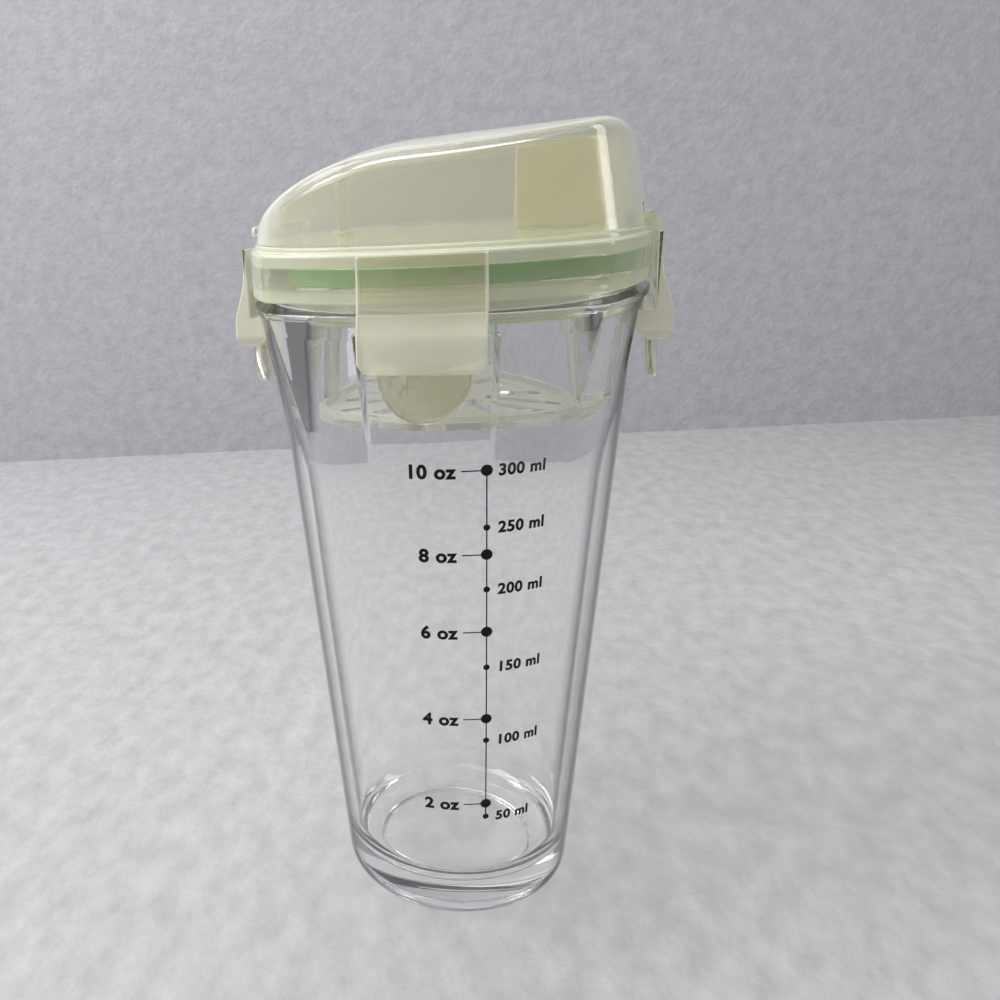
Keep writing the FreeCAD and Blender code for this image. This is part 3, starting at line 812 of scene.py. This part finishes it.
@dataclass
class FlipCover:
    """Thin wedge-shaped cover: bowed leaning sides, a roof that climbs to a round high end."""

    bottom: float = 159.2
    top: float = 180.0
    wall: float = 1.6
    low_end: float = 41.1
    high_end: float = 41.1
    half_width: float = 38.0
    side_bow: float = 90.0
    end_bow: float = 60.0
    side_lean: float = 0.09
    end_lean: float = 0.16
    corner_soft: float = 4.6
    crown: float = 270.0
    slope: float = 0.05
    bend_x: float = -4.0
    low_rise: float = 1.8
    high_x: float = 31.0
    end_round: float = 8.5
    edge_cut: float = 1.9
    edge_share: float = 0.45
    edge_rounds: int = 60
    side_rows: tuple = (0.0, 0.06, 0.3, 0.55, 0.75, 0.9, 0.98)
    roof_rows: int = 46
    lip_bottom: float = 159.8
    lip_height: float = 2.5
    lip_reach: float = 1.2
    lip_width: float = 26.0
    lip_depth: float = 5.0
    lip_round: float = 1.0
    lip_end: float = 2.0
    lip_end_draw: float = 0.9
    hinge_x: float = 40.9
    hinge_z: float = 160.3
    rail_radius: float = 1.1
    rail_length: float = 17.2
    rail_web: float = 4.6
    notch_radius: float = 3.3
    notch_width: float = 2.8
    post_x: float = -23.0
    post_top: float = 1.7
    post_tip: float = 1.3
    post_bottom: float = 160.1
    post_sink: float = 0.6

    def plan(self, angle: np.ndarray, height: np.ndarray, inset: float) -> np.ndarray:
        """Radius of the outline: the soft least distance along a ray to four leaning bowed walls.

        Args:
            angle: angles round the axis.
            height: height of each point.
            inset: how far the outline is drawn in.

        Returns:
            The radius at each angle and height.
        """
        rise = height - self.bottom
        reaches = []
        for centre, bow, lean in (
            ((0.0, self.side_bow - self.half_width), self.side_bow, self.side_lean),
            ((0.0, self.half_width - self.side_bow), self.side_bow, self.side_lean),
            ((self.high_end - self.end_bow, 0.0), self.end_bow, self.end_lean),
            ((self.end_bow - self.low_end, 0.0), self.end_bow, self.end_lean),
        ):
            reaches.append(bow_reach(angle, centre, bow - inset - lean * rise))
        return soft_least(reaches, self.corner_soft)

    def roof(self, x: np.ndarray, y: np.ndarray, inset: float) -> np.ndarray:
        """Roof height: a long arc, a straight run and a round end along X, crowned across Y.

        Args:
            x: place along the cover.
            y: place across the cover.
            inset: how far the roof is drawn in.

        Returns:
            The height at each place.
        """
        run = np.array([1.0, self.slope]) / math.hypot(1.0, self.slope)
        inward = np.array([run[1], -run[0]])
        end_centre = np.array([self.high_x, self.top - self.end_round])
        high = end_centre - inward * self.end_round
        bend = high + run * ((self.bend_x - high[0]) / run[0])
        chord = np.array([-self.low_end, self.bottom + self.low_rise]) - bend
        arc_radius = chord @ chord / (2.0 * (chord @ inward))
        arc_centre = bend + inward * arc_radius
        bend_in, high_in = bend + inward * inset, high + inward * inset
        shown, end_radius = arc_radius - inset, self.end_round - inset
        climb = arc_centre[1] + np.sqrt(np.maximum(shown**2 - (x - arc_centre[0]) ** 2, 0.01))
        straight = bend_in[1] + (x - bend_in[0]) * self.slope
        past = np.maximum(x - end_centre[0] - 0.98 * end_radius, 0.0)
        fall = end_centre[1] + np.sqrt(np.maximum(end_radius**2 - (x - past - end_centre[0]) ** 2, 0.0))
        ridge = np.where(x < bend_in[0], climb, np.where(x < high_in[0], straight, fall - 5.0 * past))
        axis = self.top - self.crown
        return axis + np.sqrt((ridge - axis) ** 2 - y**2)

    def edge_height(self, angle: np.ndarray, inset: float) -> np.ndarray:
        """Height where walls and roof meet, found by repeated halving steps."""
        height = np.full_like(angle, self.bottom + 2.0)
        for _ in range(self.edge_rounds):
            radius = self.plan(angle, height, inset)
            roof = self.roof(radius * np.cos(angle), radius * np.sin(angle), inset)
            height = 0.5 * (height + roof)
        return height

    def half_shell(self, angle: np.ndarray, inset: float) -> np.ndarray:
        """Rows from the bottom rim up the wall, over the rounded roof edge and in to the middle."""
        edge = self.edge_height(angle, inset)
        reach = self.plan(angle, edge, inset)
        ring = around(angle, reach, edge)
        cut = np.minimum(self.edge_cut, self.edge_share * (edge - self.bottom))
        start = around(angle, self.plan(angle, edge - cut, inset), edge - cut)
        inner = (1.0 - cut / reach)[:, None] * ring[:, :2]
        end = np.concatenate([inner, self.roof(inner[:, 0], inner[:, 1], inset)[:, None]], -1)
        t = np.linspace(0.0, 1.0, 8)[:, None, None]
        bend = (1 - t) ** 2 * start + 2 * t * (1 - t) * ring + t * t * end
        height = self.bottom + np.array(self.side_rows)[:, None] * (edge - cut - self.bottom)
        side = around(angle, self.plan(angle[None], height, inset), height)
        shrink = 1.0 - np.linspace(0.0, 0.985, self.roof_rows)[1:, None] ** 1.25
        x, y = shrink * inner[:, 0], shrink * inner[:, 1]
        cap = np.stack([x, y, self.roof(x, y, inset)], -1)
        return np.concatenate([side, bend, cap])

    def lip(self) -> Piece:
        """Thumb lip: a rounded bar along the bow of the low end, x = tip + y squared over twice the bow."""
        depth, rise = self.lip_depth, self.lip_height
        corners = np.array([[0.0, 0.0], [depth, 0.0], [depth, rise], [0.0, rise]])[:, None]
        loop = soft_corners(corners, [self.lip_round, 0.1, 0.1, self.lip_round], 6, True)[:, 0]
        half = self.lip_width / 2
        across = np.linspace(-1.0, 1.0, 31)[:, None] * half
        tip = -self.low_end - self.lip_reach + across**2 / (2 * self.end_bow)
        tip = tip + self.lip_end_draw * blend_step(np.abs(across), half - self.lip_end, half)
        rows = grid(tip + loop[:, 0], across, self.lip_bottom + loop[:, 1])
        return skin("lip_form", rows, caps=True)

    def rail(self) -> Piece:
        """Hinge barrel with its web to the end wall, drawn as one outline and carried along Y."""
        radius, web = self.rail_radius, self.rail_web
        corners = np.array([[-web, -radius], [radius, -radius], [radius, radius], [-web, radius]])[:, None]
        loop = soft_corners(corners, [0.1, radius, radius, 0.1], 8, True)[:, 0]
        start = Vector((self.hinge_x, -self.rail_length / 2, self.hinge_z))
        return prism("rail_form", loop, start, self.rail_length)

    def notch(self, side: float) -> Piece:
        """Round room for one hinge ear at the foot of the high end wall."""
        start = side * self.rail_length / 2
        ends = (start, start + side * self.notch_width)
        return cross_rod(f"notch_form_{int(side)}", (self.hinge_x, self.hinge_z), self.notch_radius, ends, 64)

    def post(self) -> Piece:
        """Slim tapered round post from the roof down to the vent plug, sunk a little into the roof."""
        top = float(self.roof(np.array(self.post_x), np.array(0.0), self.wall)) + self.post_sink
        height = np.array([self.post_bottom, top])[:, None]
        radius = np.array([self.post_tip, self.post_top])[:, None]
        return skin("post_form", around(circle(48), radius, height) + (self.post_x, 0, 0), caps=True)

    def build(self, shop: Workshop) -> None:
        """Builds the shell as one closed surface, notches it for the ears and joins lip, rail and post."""
        angle = circle(288)
        inner = self.half_shell(angle, self.wall)[::-1]
        outer = self.half_shell(angle, 0.0)
        origin = np.array(0.0)
        poles = [(0, 0, float(self.roof(origin, origin, inset))) for inset in (self.wall, 0.0)]
        piece = skin("cover_shell", np.concatenate([inner, outer]), poles)
        combine(piece, [self.notch(1), self.notch(-1)], Cut.TAKE_AWAY)
        combine(piece, [self.lip(), self.rail(), self.post()], Cut.JOIN)
        shade(piece, 40)
        shop.deliver(piece, COVER_PLASTIC, Body.COVER.value, "flip_cover")


@dataclass
class PourStopper:
    """Hollow yellowed stopper under the cover's high end, with a plug for the pour opening."""

    cover: FlipCover
    middle: float = 24.0
    half_length: float = 9.3
    half_width: float = 10.0
    wall: float = 1.5
    plug_half_length: float = 5.4
    plug_half_width: float = 6.4
    plug_bottom: float = 157.7
    roof_gap: float = 0.05

    def build(self, shop: Workshop) -> None:
        """Rows of rounded rectangles: plug, floor, outer wall up to the roof, and back down inside."""
        angle = circle(120)
        outer = box_outline(angle, self.half_length, self.half_width, 0.5)
        inner = box_outline(angle, self.half_length - self.wall, self.half_width - self.wall, 0.5)
        plug = box_outline(angle, self.plug_half_length, self.plug_half_width, 0.9)

        def ring(outline: np.ndarray, height: Optional[float]) -> np.ndarray:
            """Rounded rectangle at a height, or just under the roof where no height is given."""
            x, y = outline[:, 0] + self.middle, outline[:, 1]
            x = x - np.where(outline[:, 0] > 0, y**2 / (2 * self.cover.end_bow), 0.0)
            z = self.cover.roof(x, y, self.cover.wall) - self.roof_gap if height is None else height + 0.0 * x
            return np.stack([x, y, z], -1)

        floor = self.cover.bottom
        corners = np.stack([ring(plug * 0.05, self.plug_bottom), ring(plug, self.plug_bottom),
                            ring(plug, floor), ring(outer, floor), ring(outer, None), ring(inner, None),
                            ring(inner, floor + self.wall), ring(inner * 0.05, floor + self.wall)])
        rows = soft_corners(corners, [0, 0.4, 0.2, 0.8, 0.2, 0.2, 0.6, 0], 5)
        poles = ((self.middle, 0, self.plug_bottom), (self.middle, 0, floor + self.wall))
        piece = skin("stopper_block", rows, poles)
        shade(piece, 40)
        shop.deliver(piece, STOPPER_PLASTIC, Body.COVER.value, "pour_stopper")


@dataclass
class VentPlug:
    """Soft plug on the tip of the vent post."""

    middle: float = -23.0
    stem: float = 1.5
    flange: float = 2.6
    bottom: float = 157.3
    seat: float = 159.2
    top: float = 160.1

    def build(self, shop: Workshop) -> None:
        """Turns stem and flange about the post's axis."""
        angle = circle(64)
        corners = spread([(0.1, self.bottom), (self.stem, self.bottom), (self.stem, self.seat),
                          (self.flange, self.seat), (self.flange, self.top), (0.1, self.top)], angle)
        rows = lathe(angle, soft_corners(corners, [0, 0.3, 0.1, 0.25, 0.25, 0], 5)) + (self.middle, 0, 0)
        piece = skin("vent_stop", rows, ((self.middle, 0, self.bottom), (self.middle, 0, self.top)))
        shade(piece)
        shop.deliver(piece, STOPPER_PLASTIC, Body.COVER.value, "vent_plug")


@dataclass
class SnapLid:
    """Lid base: bowed skirt, seal channel, plug wall, raised land, pour and vent openings, hinge ears."""

    cover: FlipCover
    bottom: float = 148.5
    top: float = 157.9
    half: float = 42.3
    skirt_inner: float = 40.17
    channel_top: float = 155.2
    plug_outer: float = 36.0
    plug_inner: float = 34.2
    plug_bottom: float = 143.9
    deck_under: float = 156.9
    land_top: float = 158.9
    land_margin: float = 0.4
    land_draft: float = 0.25
    land_foot_edge: float = 0.5
    land_top_edge: float = 0.8
    pour_x: float = 24.0
    pour_half_length: float = 6.0
    pour_half_width: float = 7.0
    vent_x: float = -23.0
    vent_radius: float = 1.75
    ear_inner: float = 9.0
    ear_thick: float = 2.0
    ear_heel: float = 39.0
    ear_rise: float = 3.6
    ear_toe: float = 43.4
    ear_toe_rise: float = 0.5
    ear_toe_gap: float = 0.1
    ear_sink: float = 0.5
    ear_nose: tuple = (1.2, 0.6)
    pin_radius: float = 0.55
    pin_gap: float = 0.01
    seal_bottom: float = 151.4
    seal_gap: float = 0.2
    seal_top_gap: float = 0.02
    cutter_reach: float = 2.0
    skirt_rows: tuple = (0.4, 0.2)
    milk_over: float = 0.55
    milk_over_span: tuple = (-0.2, 0.4)
    milk_under: float = 0.35
    milk_under_span: float = 0.8

    @property
    def hinge(self) -> tuple:
        """Place of the cover's hinge, (x, z)."""
        return self.cover.hinge_x, self.cover.hinge_z

    def ear(self, side: float) -> Piece:
        """Triangular hinge ear: a rounded outline in XZ carried along Y and sunk a little into the deck."""
        corners = np.array([[self.ear_heel, self.top - self.ear_sink],
                            [self.cover.hinge_x, self.top - self.ear_sink],
                            [self.ear_toe, self.top + self.ear_toe_gap],
                            [self.ear_toe, self.top + self.ear_toe_rise],
                            [self.cover.hinge_x + self.ear_nose[0], self.cover.hinge_z + self.ear_nose[1]],
                            [self.ear_heel, self.top + self.ear_rise]])[:, None]
        loop = soft_corners(corners, [0.1, 0.3, 0.12, 0.12, 0.5, 0.4], 6, True)[:, 0]
        start = Vector((0, self.ear_inner if side > 0 else -self.ear_inner - self.ear_thick, 0))
        return prism(f"ear_form_{int(side)}", loop, start, self.ear_thick)

    def openings(self) -> list:
        """Forms of the pour opening, the vent and the hinge pin's hole."""
        angle = circle(72)
        reach = self.cutter_reach
        heights = np.array([self.deck_under - reach, self.land_top + reach])[:, None]
        pour = box_outline(angle, self.pour_half_length, self.pour_half_width, 0.9)
        pour_rows = grid(pour[:, 0] + self.pour_x, pour[:, 1], heights)
        vent_rows = around(angle, self.vent_radius, heights) + (self.vent_x, 0, 0)
        pin_hole = cross_rod("pin_form", self.hinge, self.pin_radius, (-30.0, 30.0), 72)
        return [skin("pour_form", pour_rows, caps=True), skin("vent_form", vent_rows, caps=True), pin_hole]

    def build_lid(self, shop: Workshop) -> None:
        """Turns the lid's section, whose outline is bowed and whose land follows the cover's plan."""
        angle = turns([(-45, -40, 12), (-40, 40, 60), (40, 45, 12)])
        rim = bowed_radius(angle, self.half)
        land = self.cover.plan(angle, np.full_like(angle, self.cover.bottom), 0.0) + self.land_margin
        corners = spread([
            (POLE, self.deck_under),
            (self.plug_inner, self.deck_under),
            (self.plug_inner, self.plug_bottom),
            (self.plug_outer, self.plug_bottom),
            (self.plug_outer, self.channel_top),
            (self.skirt_inner, self.channel_top),
            (self.skirt_inner, self.bottom),
            (rim, self.bottom),
            (rim, self.seal_bottom - self.skirt_rows[0]),
            (rim, self.channel_top + self.skirt_rows[1]),
            (rim, self.top),
            (np.minimum(land + self.land_draft, rim - self.land_foot_edge), self.top),
            (np.minimum(land, rim - self.land_top_edge), self.land_top),
            (POLE, self.land_top),
        ], angle)
        cuts = [0, 0.5, 0.6, 0.6, 0.3, 0.3, 0.4, 0.5, 0.4, 0.4, 0.8, 0.2, 0.4, 0]
        rows = lathe(angle, soft_corners(corners, cuts, 6))
        piece = skin("lid_shell", rows, ((0, 0, self.deck_under), (0, 0, self.land_top)))
        combine(piece, [self.ear(1), self.ear(-1)], Cut.JOIN)
        combine(piece, self.openings(), Cut.TAKE_AWAY)
        height = vertices(piece.data)[:, 2] / MM
        start, end = (self.channel_top + step for step in self.milk_over_span)
        over = self.milk_over * blend_step(height, start, end)
        clear = self.seal_bottom - self.milk_under_span
        under = self.milk_under * blend_step(height, self.seal_bottom, clear)
        make_milky(piece, over + under)
        shade(piece, 40)
        shop.deliver(piece, LID_PLASTIC, Body.VESSEL.value, "lid_base")

    def build_seal(self, shop: Workshop) -> None:
        """Turns the seal's rounded rectangular section into a ring."""
        angle = circle(240)
        low, high = self.plug_outer + self.seal_gap, self.skirt_inner - self.seal_gap
        top = self.channel_top - self.seal_top_gap
        corners = spread([(low, self.seal_bottom), (high, self.seal_bottom), (high, top), (low, top)], angle)
        rows = lathe(angle, soft_corners(corners, [0.5] * 4, 6, True))
        piece = skin("seal_band", rows, loop=True)
        shade(piece, 60)
        shop.deliver(piece, SEAL_SILICONE, Body.VESSEL.value, "seal_ring")

    def build_pin(self, shop: Workshop) -> None:
        """Round hinge pin through both ears."""
        half = self.ear_inner + self.ear_thick
        piece = cross_rod("hinge_rod", self.hinge, self.pin_radius - self.pin_gap, (-half, half), 40)
        shade(piece)
        shop.deliver(piece, PIN_PLASTIC, Body.VESSEL.value, "hinge_pin")


@dataclass
class SideClip:
    """Snap clip: thin plate hung at the lid's top edge, outward bulge, inward hook and thumb tab."""

    name: str
    angle: float
    half_width: float = 12.0
    inner: float = 42.6
    outer: float = 43.6
    peak: float = 46.35
    top: float = 157.6
    swell_top: float = 150.7
    crest: float = 142.2
    foot: float = 135.8
    nose: float = 40.27
    hook_top: float = 142.4
    hook_rise: float = 0.7
    hook_slope: float = 0.77
    corner: float = 3.5
    tab_inner: float = 41.3
    tab_half: float = 8.9
    tab_thick: float = 2.2
    tab_tip: float = 126.3
    tab_flare: float = 1.0
    tab_edge: float = 0.85
    side_round: float = 0.35
    hook_foot: float = 0.4
    milk_bulge: float = 0.62
    milk_side: tuple = (0.8, 0.1)
    milk_swell: tuple = (1.0, 6.0)
    milk_foot: tuple = (-0.2, 0.6)

    def side_view(self, across: np.ndarray) -> np.ndarray:
        """Closed outline of the thick part at places across the clip; the hook's nose is round the axis."""
        nose = np.sqrt(self.nose**2 - across**2)
        root = self.foot + self.hook_rise
        corners = spread([
            (self.inner, self.top), (self.outer, self.top), (self.outer, self.swell_top),
            (self.peak, self.crest), (self.peak, self.foot), (self.tab_inner + self.hook_foot, self.foot),
            (self.tab_inner, root), (nose, root + (self.tab_inner - nose) * self.hook_slope),
            (nose, self.hook_top), (self.inner, self.hook_top),
        ], across)
        return soft_corners(corners, [0.4, 0.45, 3.5, 1.9, 3.1, 0.2, 0.2, 0.4, 0.4, 0.6], 7, True)

    def thick_part(self) -> Piece:
        """Outline carried across the width; its lower edge lifts on an arc at the two corners."""
        half = self.half_width
        across = half * np.sin(np.linspace(-math.pi / 2, math.pi / 2, 61))
        loop = self.side_view(across)
        past = np.maximum(np.abs(across) - (half - self.corner), 0.0)
        lift = self.corner - np.sqrt(np.maximum(self.corner**2 - past**2, 0.0))
        low = np.maximum(loop[..., 1], self.foot + lift * (self.top - loop[..., 1]) / (self.top - self.foot))
        edge = np.maximum(np.abs(across) - (half - self.side_round), 0.0)
        draw = self.side_round - np.sqrt(np.maximum(self.side_round**2 - edge**2, 0.0))
        middle = (self.inner + self.outer) / 2
        radius = loop[..., 0] - np.sign(loop[..., 0] - middle) * draw
        return skin(self.name + "_thick", grid(radius, across, low).transpose(1, 0, 2), caps=True)

    def tab(self) -> Piece:
        """Thin tongue: round-ended outline drawn in over its rounded edge, tilted out towards its tip."""
        angle = circle(96)
        centre = self.tab_tip + self.tab_half
        rise = self.foot + 2.0 - centre
        across = self.tab_half * np.cos(angle)
        sine = np.sin(angle)
        along = np.where(sine < 0, self.tab_half * sine, rise * np.clip(3.0 * sine, 0.0, 1.0))
        share = np.array([0.02, 0.5, 1.0, 1.0, 1.0, 1.0, 1.0, 0.5, 0.02])[:, None]
        inset = np.array([1.0, 1.0, 1.0, 0.3, 0.0, 0.3, 1.0, 1.0, 1.0])[:, None] * self.tab_edge
        depth = np.array([0.0, 0.0, 0.0, 0.12, 0.5, 0.88, 1.0, 1.0, 1.0])[:, None] * self.tab_thick
        scale = share * (1.0 - inset / self.tab_half)
        height = centre + scale * along
        tilt = self.tab_flare * np.clip((self.foot - height) / (self.foot - self.tab_tip), 0.0, 1.0) ** 1.2
        rows = grid(self.tab_inner + depth + tilt, scale * across, height)
        return skin(self.name + "_tab", rows, caps=True)

    def cloud(self, piece: Piece) -> None:
        """Marks where the plastic is milky: wholly at the two side edges, partly in the thick bulge."""
        across, height = np.abs(vertices(piece.data)[:, 1:].T / MM)
        side = blend_step(across, *(self.half_width - step for step in self.milk_side))
        bulge = self.milk_bulge * blend_step(height, *(self.swell_top - step for step in self.milk_swell))
        above_tab = blend_step(height, *(self.foot + step for step in self.milk_foot))
        make_milky(piece, np.maximum(side, bulge * above_tab))

    def build(self, shop: Workshop) -> None:
        """Joins plate and tab, turns the clip to its side of the lid and keeps its two side faces flat."""
        piece = self.thick_part()
        combine(piece, [self.tab()], Cut.JOIN)
        self.cloud(piece)
        normals = np.empty(len(piece.data.polygons) * 3)
        piece.data.polygons.foreach_get("normal", normals)
        curved = np.abs(normals.reshape(-1, 3)[:, 1]) < 0.999
        piece.data.transform(Matrix.Rotation(math.radians(self.angle), 4, "Z"))
        piece.name = self.name + "_snap"
        shade(piece, 40)
        piece.data.polygons.foreach_set("use_smooth", curved)
        shop.deliver(piece, CLIP_PLASTIC, self.name + "_latch", self.name + "_clip")


@dataclass
class MixingInsert:
    """Strainer dish on four struts below a collar that sits in the lid's plug wall."""

    radius: float = 32.1
    bottom: float = 122.4
    floor: float = 1.2
    ring_top: float = 125.3
    ring_wall: float = 1.8
    wall: float = 1.5
    collar_bottom: float = 147.9
    collar_radius: float = 34.15
    top: float = 156.85
    strut_half: float = 4.5
    slots: int = 12
    slot_half: float = 2.0
    slot_inner: float = 10.0
    slot_outer: float = 27.0
    window_reach: float = 6.0
    cutter_reach: float = 1.0

    def window(self, quarter: int) -> Piece:
        """Curved block between two struts, carried round the axis."""
        gap = math.asin(self.strut_half / (self.radius - self.wall / 2))
        angle = quarter * math.pi / 2 + np.linspace(gap, math.pi / 2 - gap, 25)[:, None]
        inner, outer = self.radius - self.window_reach, self.radius + self.window_reach
        radius = np.array([inner, outer, outer, inner])
        height = np.array([self.ring_top, self.ring_top, self.collar_bottom, self.collar_bottom])
        return skin(f"window_form_{quarter}", around(angle, radius, height), caps=True)

    def slot(self, index: int) -> Piece:
        """Round-ended radial slot through the floor."""
        angle = circle(40)
        outline = box_outline(angle, (self.slot_outer - self.slot_inner) / 2, self.slot_half, 0.5)
        x = outline[:, 0] + (self.slot_outer + self.slot_inner) / 2
        turn = 2 * math.pi * index / self.slots
        reach = self.cutter_reach
        heights = np.array([self.bottom - reach, self.bottom + self.floor + reach])[:, None]
        y = outline[:, 1]
        cosine, sine = math.cos(turn), math.sin(turn)
        rows = grid(x * cosine - y * sine, x * sine + y * cosine, heights)
        return skin(f"slot_form_{index}", rows, caps=True)

    def build(self, shop: Workshop) -> None:
        """Turns dish, wall and collar in one section, then takes the windows and slots away."""
        angle = circle(240)
        inside = self.radius - self.wall
        corners = spread([
            (POLE, self.bottom), (self.radius, self.bottom), (self.radius, self.collar_bottom),
            (self.collar_radius, self.collar_bottom), (self.collar_radius, self.top), (inside, self.top),
            (inside, self.ring_top), (self.radius - self.ring_wall, self.ring_top),
            (self.radius - self.ring_wall, self.bottom + self.floor), (POLE, self.bottom + self.floor),
        ], angle)
        rows = lathe(angle, soft_corners(corners, [0, 0.7, 0.3, 0.3, 0.3, 0.3, 0.1, 0.1, 0.5, 0], 5))
        piece = skin("insert_dish", rows, ((0, 0, self.bottom), (0, 0, self.bottom + self.floor)))
        cutters = [self.window(k) for k in range(4)] + [self.slot(k) for k in range(self.slots)]
        combine(piece, cutters, Cut.TAKE_AWAY)
        shade(piece, 40)
        shop.deliver(piece, INSERT_PLASTIC, Body.VESSEL.value, "mixing_insert")


@dataclass
class Studio:
    """Camera at the photograph's place, paper floor and backdrop, and soft lamps."""

    position: tuple = (25.34, -224.64, 171.97)
    turn: float = 6.436
    pitch: float = 17.984
    yaw: float = -9.198
    roll: float = -3.653
    lens: float = 35.726
    shift: float = 0.2012
    floor_drop: float = 0.2
    floor_half: float = 1500.0
    wall_left: tuple = (-570.0, 305.0)
    wall_right: tuple = (520.0, 535.0)
    wall_height: float = 900.0
    room_light: tuple = ((0.0, (0.15, 0.15, 0.16)), (0.75, (0.30, 0.31, 0.32)))

    def camera(self) -> None:
        """Sets the camera from its place, turn, pitch, yaw, roll and lens."""
        pitch, yaw, roll = (math.radians(v) for v in (self.pitch, self.yaw, self.roll))
        forward = Vector((math.sin(yaw) * math.cos(pitch), math.cos(yaw) * math.cos(pitch), -math.sin(pitch)))
        right = Vector((math.cos(yaw), -math.sin(yaw), 0.0))
        up = right.cross(forward)
        across = right * math.cos(roll) + up * math.sin(roll)
        upright = up * math.cos(roll) - right * math.sin(roll)
        level = Matrix((across, upright, -forward)).transposed().to_4x4()
        matrix = Matrix.Rotation(math.radians(self.turn), 4, "Z") @ level
        matrix.translation = Vector(self.position) * MM
        data = bpy.data.cameras.new("photo_camera")
        data.lens = self.lens
        data.sensor_width = 36.0
        data.shift_x = self.shift
        data.clip_start = 0.01
        camera = place("photo_camera", data)
        camera.matrix_world = matrix
        bpy.context.scene.camera = camera

    def sheet(self, name: str, corners: Sequence[tuple], finish: PaperSweep, shop: Workshop) -> None:
        """One flat sheet of paper that is part of the stage."""
        mesh = bpy.data.meshes.new(name)
        mesh.from_pydata([tuple(MM * part for part in corner) for corner in corners], [], [(0, 1, 2, 3)])
        piece = place(name, mesh)
        mesh.materials.append(shop.material(finish))
        piece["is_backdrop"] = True

    def lamp(self, name: str, spot: tuple, target: tuple, size: tuple, power: float, tint: tuple) -> None:
        """One rectangular soft lamp aimed at a point.

        Args:
            name: name of the lamp.
            spot: its place in millimetres.
            target: point that it is aimed at.
            size: its width and height in millimetres.
            power: its power in watts.
            tint: its colour.
        """
        data = bpy.data.lights.new(name, "AREA")
        data.shape = "RECTANGLE"
        data.size, data.size_y = size[0] * MM, size[1] * MM
        data.energy = power
        data.color = tint
        start, end = Vector(spot) * MM, Vector(target) * MM
        aim = (start - end).to_track_quat("Z", "Y").to_matrix().to_4x4()
        place(name, data).matrix_world = Matrix.Translation(start) @ aim

    def world(self) -> None:
        """Soft room light: dim near the horizon, brighter overhead."""
        world = bpy.data.worlds.new("room")
        world.use_nodes = True
        nodes, links = world.node_tree.nodes, world.node_tree.links
        parts = nodes.new("ShaderNodeSeparateXYZ")
        links.new(nodes.new("ShaderNodeTexCoord").outputs["Generated"], parts.inputs["Vector"])
        ramp = nodes.new("ShaderNodeValToRGB")
        for element, (position, colour) in zip(ramp.color_ramp.elements, self.room_light):
            element.position = position
            element.color = (*colour, 1)
        links.new(parts.outputs["Z"], ramp.inputs["Fac"])
        links.new(ramp.outputs["Color"], nodes["Background"].inputs["Color"])
        bpy.context.scene.world = world

    def build(self, shop: Workshop) -> None:
        """Sets camera, paper, lamps and room light."""
        self.camera()
        drop = -self.floor_drop
        floor = PaperSweep("floor_paper", (0.54, 0.54, 0.55), (0.43, 0.43, 0.44))
        wall = PaperSweep("backdrop_paper", (0.50, 0.50, 0.53), (0.42, 0.42, 0.45))
        far = self.floor_half
        corners = [(-far, -far, drop), (far, -far, drop), (far, far, drop), (-far, far, drop)]
        self.sheet("floor_sheet", corners, floor, shop)
        (lx, ly), (rx, ry) = self.wall_left, self.wall_right
        self.sheet("backdrop_sheet", [(lx, ly, drop), (rx, ry, drop), (rx, ry, self.wall_height),
                                      (lx, ly, self.wall_height)], wall, shop)
        self.lamp("left_softbox", (-620, -200, 640), (-60, 0, 60), (520, 420), 5.0, (1.0, 0.99, 1.0))
        self.lamp("front_softbox", (-260, -560, 960), (0, 0, 110), (600, 360), 2.0, (1.0, 1.0, 0.99))
        self.lamp("top_softbox", (-160, 60, 850), (0, 0, 80), (600, 500), 2.6, (1.0, 1.0, 0.99))
        self.lamp("right_softbox", (560, 110, 330), (0, 0, 100), (120, 420), 0.8, (1.0, 0.99, 0.97))
        self.world()
        bpy.context.scene.view_settings.view_transform = "Standard"


def main(cad_box: tuple) -> None:
    """Builds every sub-assembly and the studio.

    Args:
        cad_box: lowest and highest corner of the CAD model; not used.
    """
    logging.basicConfig(level=logging.INFO, format="%(name)s %(message)s")
    shop = Workshop()
    glass = GlassTumbler()
    cover = FlipCover()
    lid = SnapLid(cover)
    glass.build(shop)
    PrintedScale(glass).build(shop)
    lid.build_seal(shop)
    lid.build_lid(shop)
    lid.build_pin(shop)
    MixingInsert().build(shop)
    cover.build(shop)
    VentPlug().build(shop)
    PourStopper(cover).build(shop)
    for name, angle in (("right", 0.0), ("back", 90.0), ("left", 180.0), ("front", 270.0)):
        SideClip(name, angle).build(shop)
    Studio().build(shop)


if __name__ == "__main__":
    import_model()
    main(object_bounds())
